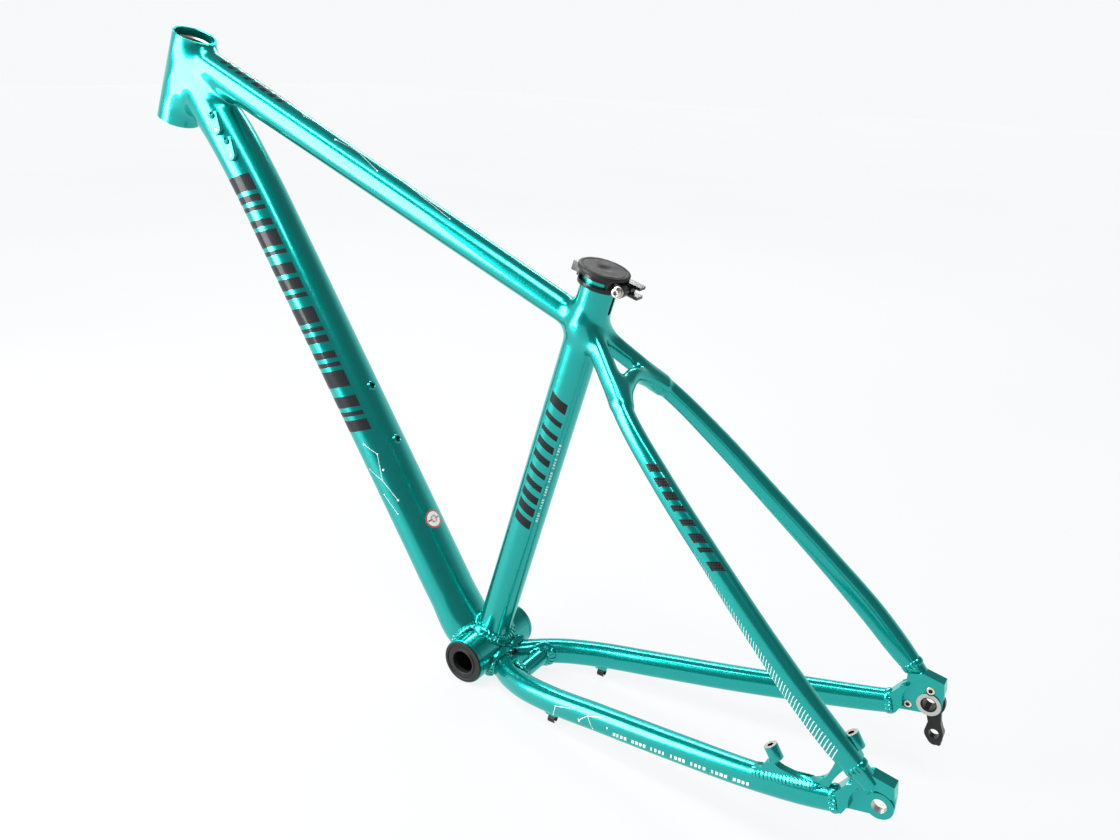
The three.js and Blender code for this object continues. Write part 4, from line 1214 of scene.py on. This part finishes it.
def paint_shade_in_hole(obj, base, direction, radius):
    """Blackens the walls and floor of a hole round an axis: painted shade, where little light gets in."""
    refinish_faces(obj, lambda point, _normal: off_axis(point, base, direction)[0] < radius + 0.25, black_anodised_and_shade)


# ---------------------------------------------------------------- printed graphics, all generic

LIFT = 0.09  # height of a print above the paint


def on_tube(tube, patches, cell=1.4):
    """Thin print on a tube. A patch is four corners (mm along, degrees round)."""
    points, faces = [], []
    for corners in patches:
        (s0, a0), (s1, a1), (s2, a2), (s3, a3) = corners
        radius = float(tube.half.mean())
        rows = max(2, int(max(abs(s1 - s0), abs(s2 - s3)) / cell) + 2)
        columns = max(2, int(max(abs(a3 - a0), abs(a2 - a1)) * math.radians(radius) / cell) + 2)
        u, v = np.meshgrid(np.linspace(0, 1, rows), np.linspace(0, 1, columns), indexing="ij")
        s = (1 - u) * (1 - v) * s0 + u * (1 - v) * s1 + u * v * s2 + (1 - u) * v * s3
        a = (1 - u) * (1 - v) * a0 + u * (1 - v) * a1 + u * v * a2 + (1 - u) * v * a3
        spots = tube.surface(s.ravel() / tube.step, np.radians(a.ravel()))
        faces += grid_faces(rows, columns, first=len(points))
        points += on_skin(spots, LIFT).tolist()
    return with_bmesh(new_object("print", points, faces), lambda bm: face_out(bm, tube))


def face_out(bm, tube):
    """Turns every face away from the tube."""
    bm.normal_update()
    centres = np.array([face.calc_center_median() for face in bm.faces])
    outwards = tube.distance(centres)[1]
    bmesh.ops.reverse_faces(bm, faces=[f for f, n in zip(bm.faces, outwards) if f.normal.dot(Vector(n)) < 0])


def bar(start, end, low, high, slant=0.0):
    """Slanted bar from `start` to `end` along the tube, between two angles."""
    return [(start, low), (end, low), (end + slant, high), (start + slant, high)]


def ring_patches(tube, s, angle, inner, outer, count=40, flat=1.0):
    """Ring or disc round a place, in quads."""
    degrees = 1 / math.radians(float(tube.half.mean()))
    turn = np.linspace(0, 2 * np.pi, count + 1)

    def spot(radius, t):
        return (s + radius * math.cos(t), angle + radius * flat * math.sin(t) * degrees)

    return [[spot(inner, a), spot(outer, a), spot(outer, b), spot(inner, b)] for a, b in zip(turn, turn[1:])]


def line_patch(tube, a, b, width=0.45):
    """Fine straight line between two places."""
    degrees = 1 / math.radians(float(tube.half.mean()))
    along, round_by = b[0] - a[0], (b[1] - a[1]) / degrees
    length = math.hypot(along, round_by)
    ds, da = -round_by / length * width / 2, along / length * width / 2 * degrees
    return [(a[0] - ds, a[1] - da), (b[0] - ds, b[1] - da), (b[0] + ds, b[1] + da), (a[0] + ds, a[1] + da)]


def star_field(tube, stars, lines):
    """Dots joined by fine lines."""
    patches = [line_patch(tube, stars[i], stars[j]) for i, j in lines]
    for k, (s, angle) in enumerate(stars):
        patches += ring_patches(tube, s, angle, 0.0, 1.25 if k % 3 == 0 else 0.75, 12)
    return patches


def down_tube_bars():
    """Rhythm of heavy slanted blocks down the left side, each in two or three lengths."""
    patches = []
    for k, widths in enumerate(((19, 8, 5), (8, 19, 5), (13, 13, 5), (19, 5, 8), (8, 5, 19), (13, 5, 13))):
        left = 136 + k * 53
        for width in widths:
            patches.append(bar(left, left + width, -34, 44, 9))
            left += width + 5
    return patches


def small_bars(start, count, pitch, low, high, slant, seed):
    """Row of slanted blocks of different widths."""
    random = np.random.default_rng(seed)
    lefts = start + pitch * np.arange(count)
    return [bar(left, left + pitch * random.uniform(0.35, 0.72), low, high, slant) for left in lefts]


def hatch_band(tube):
    """Fine curved strokes that get longer towards the dropout."""
    patches = []
    count, foot, steps = 56, -70, 4
    for k in range(count):
        s = 236 + k * 3.3
        top = -24 + 34 * k / count
        thick = 0.35 + 0.4 * k / count
        for step in range(steps):
            a0, a1 = (foot + (top - foot) * x / steps for x in (step, step + 1))
            s0, s1 = (s - 5.5 * (x / steps) ** 2 for x in (step, step + 1))
            patches.append([(s0, a0), (s0 + thick, a0), (s1 + thick, a1), (s1, a1)])
    return patches


def small_marks(start, count, pitch, low, high, seed):
    """Row of tiny ticks of different widths."""
    random = np.random.default_rng(seed)
    marks = []
    for k in range(count):
        if k % 5 != 4:
            left = start + k * pitch
            marks.append(bar(left, left + pitch * random.uniform(0.35, 0.7), low, high, 0.8))
    return marks


def printed(name, parts, material):
    """One print made of the prints on several tubes."""
    prints = [on_tube(tubes[tube], patches) for tube, patches in parts]
    return hand_over(joined(name, prints), name, material)


# ---------------------------------------------------------------- assembling the frame

def weldment():
    nodes = ["head_tube", "top_tube", "down_tube", "seat_tube", "bottom_bracket_shell", "seatstay_left",
             "seatstay_right", "chainstay_left", "chainstay_right", "seatstay_bridge", "chainstay_bridge"]
    skin = hand_over(welded_frame(), "welded_frame", paint, nodes)

    def inside(point, _normal):
        from_head, height = off_axis(point, HEAD_BOTTOM, HEAD_UP)
        if from_head < HEAD_RADIUS - 1.7 and -1 < height < HEAD_LENGTH - 6:
            return True
        from_seat, height = off_axis(point, (0, 0, 0), SEAT_UP)
        if from_seat < SEAT_BORE + 0.2 and height > 50:
            return True
        return False

    def painted_shade_in_shell(point, _normal):
        return math.hypot(point.x, point.z) < SHELL["recess"] + 0.3 and abs(point.y) < SHELL["half"] - 0.1

    refinish_faces(skin, inside)
    # The shell's bore and recesses are black: painted shade inside the closed shell.
    refinish_faces(skin, painted_shade_in_shell, black_anodised_and_shade)
    true_normals(skin)


def true_normals(obj):
    """Shades the skin by its blended surface's own normals, so that reflections run evenly."""
    mesh = obj.data
    spots = np.empty(len(mesh.vertices) * 3)
    mesh.vertices.foreach_get("co", spots)
    distance, direction = frame_distance(spots.reshape(-1, 3) * 1000)
    corners = np.empty(len(mesh.loops), dtype=np.int64)
    mesh.loops.foreach_get("vertex_index", corners)
    normals = np.empty(len(corners) * 3)
    mesh.corner_normals.foreach_get("vector", normals)
    normals = normals.reshape(-1, 3)
    exact = unit(direction)[corners]
    near = (np.abs(distance[corners]) < 0.1) & ((normals * exact).sum(1) > 0.85)
    normals[near] = exact[near]
    mesh.normals_split_custom_set(normals)


def at_axle(point):
    return math.hypot(point.x - AXLE.x, point.z - AXLE.z)


def rear_end():
    left = hand_over(dropout_left(), "left_dropout", paint, ["dropout_left"])
    refinish_faces(left, lambda p, n: at_axle(p) < AXLE_HOLE + 0.8)
    right = hand_over(dropout_right(), "right_dropout", paint, ["dropout_right"])
    refinish_faces(right, lambda p, n: at_axle(p) < DROPOUT["hub_seat"] + 0.3 and p.y > -74.8)
    mount = hand_over(brake_mount(), "disc_brake_mount", paint, ["brake_mount"])
    up = on_post(POSTS["rear"], 1) - on_post(POSTS["rear"], 0)
    posts = [(on_post(POSTS[key], 0), up) for key in ("front", "rear")]

    def on_face(point, normal, base, up):
        from_axis, height = off_axis(point, base, up)
        return from_axis < 7 and height > -0.75 and normal.dot(up) > 0.5

    refinish_faces(mount, lambda point, normal: any(on_face(point, normal, *post) for post in posts))
    # The posts' threaded holes are blackened with painted shade.
    for base, up in posts:
        paint_shade_in_hole(mount, base, up, POSTS["hole"])
    hand_over(derailleur_hanger(), "hanger", black_anodised_and_shade, ["derailleur_hanger"])
    for key, place in HANGER_BOLTS.items():
        bolt = hand_over(hanger_bolt(place), f"hanger_bolt_{key}_head", champagne, [f"hanger_bolt_{key}"])
        # The bolt's key socket is blackened with painted shade.
        paint_shade_in_hole(bolt, AXLE + Vector((place[0], 0, place[1])), LEFT, M4_BOLT["key"])


def small_parts():
    for row, key in enumerate(("upper", "lower")):
        hand_over(bottle_boss(row), f"bottle_boss_{key}_nut", paint, [f"bottle_boss_{key}"])
        hand_over(bottle_screw(row), f"bottle_screw_{key}_head", plastic, [f"bottle_screw_{key}"])
    for key, centre in PORT_CENTRES.items():
        hand_over(port_cover(centre), f"port_cover_{key}", paint, [f"cable_port_{key}"])
        hand_over(port_screw(centre), f"port_screw_{key}_head", steel, [f"port_screw_{key}"])
    for side, key in SIDES:
        hand_over(cable_guide(side), f"guide_block_{key}", paint, [f"cable_guide_{key}"])
        hand_over(cable_clip(side), f"clip_{key}", plastic, [f"cable_clip_{key}"])
    hand_over(cable_exit_boss(), "exit_boss", paint, ["cable_exit_boss"])
    hand_over(cable_exit_grommet(), "exit_grommet", plastic, ["cable_exit_grommet"])


def moving_parts():
    hand_over(seat_clamp(), "clamp_band", black_anodised_and_shade, ["seat_clamp"], "clamp")
    hand_over(clamp_nut(), "clamp_barrel_nut", black_anodised_and_shade, ["clamp_nut"], "clamp")
    hand_over(clamp_washer(), "clamp_bolt_washer", steel, ["clamp_washer"], "washer")
    hand_over(clamp_bolt(), "clamp_cap_screw", steel, ["clamp_bolt"], "bolt")
    hand_over(seat_tube_plug(), "seat_plug_cap", plastic, ["seat_tube_plug"], "seat_plug")
    for side, key in SIDES:
        plug = bottom_bracket_plug(side)
        hand_over(plug, f"shell_plug_{key}", plastic, [f"bottom_bracket_plug_{key}"], f"{key}_plug")


def weld_beads():
    beads = [bead for joint in BEADED_JOINTS for bead in tube_beads(*joint)] + dropout_beads() + mount_beads()
    return hand_over(joined("weld_beads", beads), "weld_beads", paint)


def badge_ring(inner, outer):
    return ring_patches(tubes["down"], 567, 88, inner, outer, 48)


def graphics():
    down, top = tubes["down"], tubes["top"]
    stay, chain = tubes["seat_stay_left"], tubes["chain_stay_left"]
    bars = [("down", down_tube_bars()),
            ("seat", small_bars(166, 10, 15, -42, 22, 8, 5)),
            ("top", small_bars(54, 8, 13, 64, 112, 5, 6)),
            ("seat_stay_left", small_bars(148, 8, 13.4, 0, 62, 6, 7)),
            ("seat_stay_right", small_bars(148, 8, 13.4, 118, 180, 6, 8))]
    printed("carbon_bars", bars, carbon)
    top_stars = [(170, 100), (186, 78), (214, 104), (236, 70), (262, 86), (300, 60), (322, 96), (356, 80),
                 (398, 66), (410, 96)]
    down_stars = [(462, 8), (478, 30), (489, -12), (496, 26), (506, 12), (520, -4), (532, 27), (545, 10)]
    chain_stars = [(118, -40), (124, 14), (141, 28), (152, -6), (163, 22), (168, -22), (177, 38), (186, 4)]
    white = [("top", star_field(top, top_stars, [(0, 1), (1, 2), (3, 4), (4, 5), (6, 7), (7, 8), (7, 9)])),
             ("down", star_field(down, down_stars, [(0, 1), (1, 4), (2, 4), (4, 6), (5, 7)])),
             ("chain_stay_left", star_field(chain, chain_stars, [(0, 1), (1, 2), (3, 4), (4, 5), (4, 6)])),
             ("chain_stay_left", small_marks(192, 34, 4.2, -16, -2, 9)),
             ("seat", small_marks(176, 30, 3.2, -62, -54, 10)),
             ("seat_stay_left", hatch_band(stay)),
             ("down", badge_ring(0.0, 8.2))]
    printed("white_graphics", white, white_ink)
    printed("badge_rim", [("down", badge_ring(8.2, 10.0) + badge_ring(2.2, 4.4))], red_ink)


weldment()
weld_beads()
rear_end()
small_parts()
moving_parts()
graphics()


# ---------------------------------------------------------------- floor, light and camera

# Brightness of the surroundings: a white backdrop beyond the bicycle, a dim room overhead and behind.
BACKDROP, ROOM = 0.95, 0.22
TOWARDS_BACKDROP = (0.535, -0.845, 0.0)


def floor():
    size, height = 12.0, cad_bounds[0][2] - 0.0006
    corners = [(x, y, height) for x, y in ((-size, -size), (size, -size), (size, size), (-size, size))]
    mesh = bpy.data.meshes.new("floor")
    mesh.from_pydata(corners, [], [(0, 1, 2, 3)])
    obj = bpy.data.objects.new("floor", mesh)
    bpy.context.scene.collection.objects.link(obj)
    mesh.materials.append(studio_floor())


def lamp(name, kind, energy, direction, place=(0, 0, 0)):
    """Light that shines along a direction."""
    light = bpy.data.lights.new(name, kind)
    light.energy = energy
    obj = bpy.data.objects.new(name, light)
    obj.location = place
    obj.rotation_euler = Vector(direction).to_track_quat("-Z", "Y").to_euler()
    bpy.context.scene.collection.objects.link(obj)
    return light


def soft_box(name, place, target, size, power):
    """Rectangular soft light, in metres, aimed at a point."""
    light = lamp(name, "AREA", power, Vector(target) - Vector(place), place)
    light.shape = "RECTANGLE"
    light.size, light.size_y = size


def studio_world():
    """White backdrop on one side, fading into a dim room overhead and on the other side."""
    world = bpy.data.worlds.new("studio")
    world.use_nodes = True
    sky = Nodes(world.node_tree)

    def faded(value, start, end, low=0.0, high=1.0):
        """Value between two limits mapped to low..high."""
        inputs = {"Value": value, "From Min": start, "From Max": end, "To Min": low, "To Max": high}
        return sky.node("ShaderNodeMapRange", inputs).outputs["Result"]

    ray = sky.node("ShaderNodeTexCoord").outputs["Generated"]
    height = sky.node("ShaderNodeSeparateXYZ", {"Vector": ray}).outputs["Z"]
    along = sky.node("ShaderNodeVectorMath", {0: ray, 1: TOWARDS_BACKDROP}, operation="DOT_PRODUCT")
    ahead = faded(along.outputs["Value"], -0.55, 0.55)
    low = faded(height, 0.16, 0.5, 1.0, 0.0)
    share = sky.node("ShaderNodeMath", {0: low, 1: ahead}, operation="MULTIPLY")
    background = sky.tree.nodes["Background"].inputs
    sky.feed(background["Color"], rgb(0.985, 0.993, 1.0))
    sky.feed(background["Strength"], faded(share.outputs[0], 0.0, 1.0, ROOM, BACKDROP))
    bpy.context.scene.world = world


def photo_camera():
    """Camera at the photograph's viewing angle, with its place in metres."""
    heading, pitch, roll = (math.radians(angle) for angle in (-57.6128, -18.2697, 2.0408))
    level = math.radians(90)
    camera = bpy.data.cameras.new("camera")
    camera.sensor_width = 36
    camera.lens = 32.04
    camera.shift_y = -0.0357
    obj = bpy.data.objects.new("camera", camera)
    aim = Matrix.Rotation(heading - level, 4, "Z") @ Matrix.Rotation(level + pitch, 4, "X")
    obj.matrix_world = Matrix.Translation((-0.55648, 0.75401, 0.60947)) @ aim @ Matrix.Rotation(roll, 4, "Z")
    bpy.context.scene.collection.objects.link(obj)
    bpy.context.scene.camera = obj


floor()
studio_world()
lamp("broad_sun", "SUN", 1.3, (0.1, -0.25, -1.0)).angle = math.radians(24)
soft_box("overhead", (0.0, 0.75, 2.2), (0.0, 0, 0.2), (2.6, 0.26), 24)
soft_box("left_box", (1.0, 1.1, 0.75), (0.1, 0, 0.3), (0.8, 1.4), 52)
soft_box("back_right", (1.3, -1.9, 1.7), (0, 0, 0.3), (1.8, 0.3), 24)
photo_camera()
bpy.context.scene.view_settings.view_transform = "Standard"
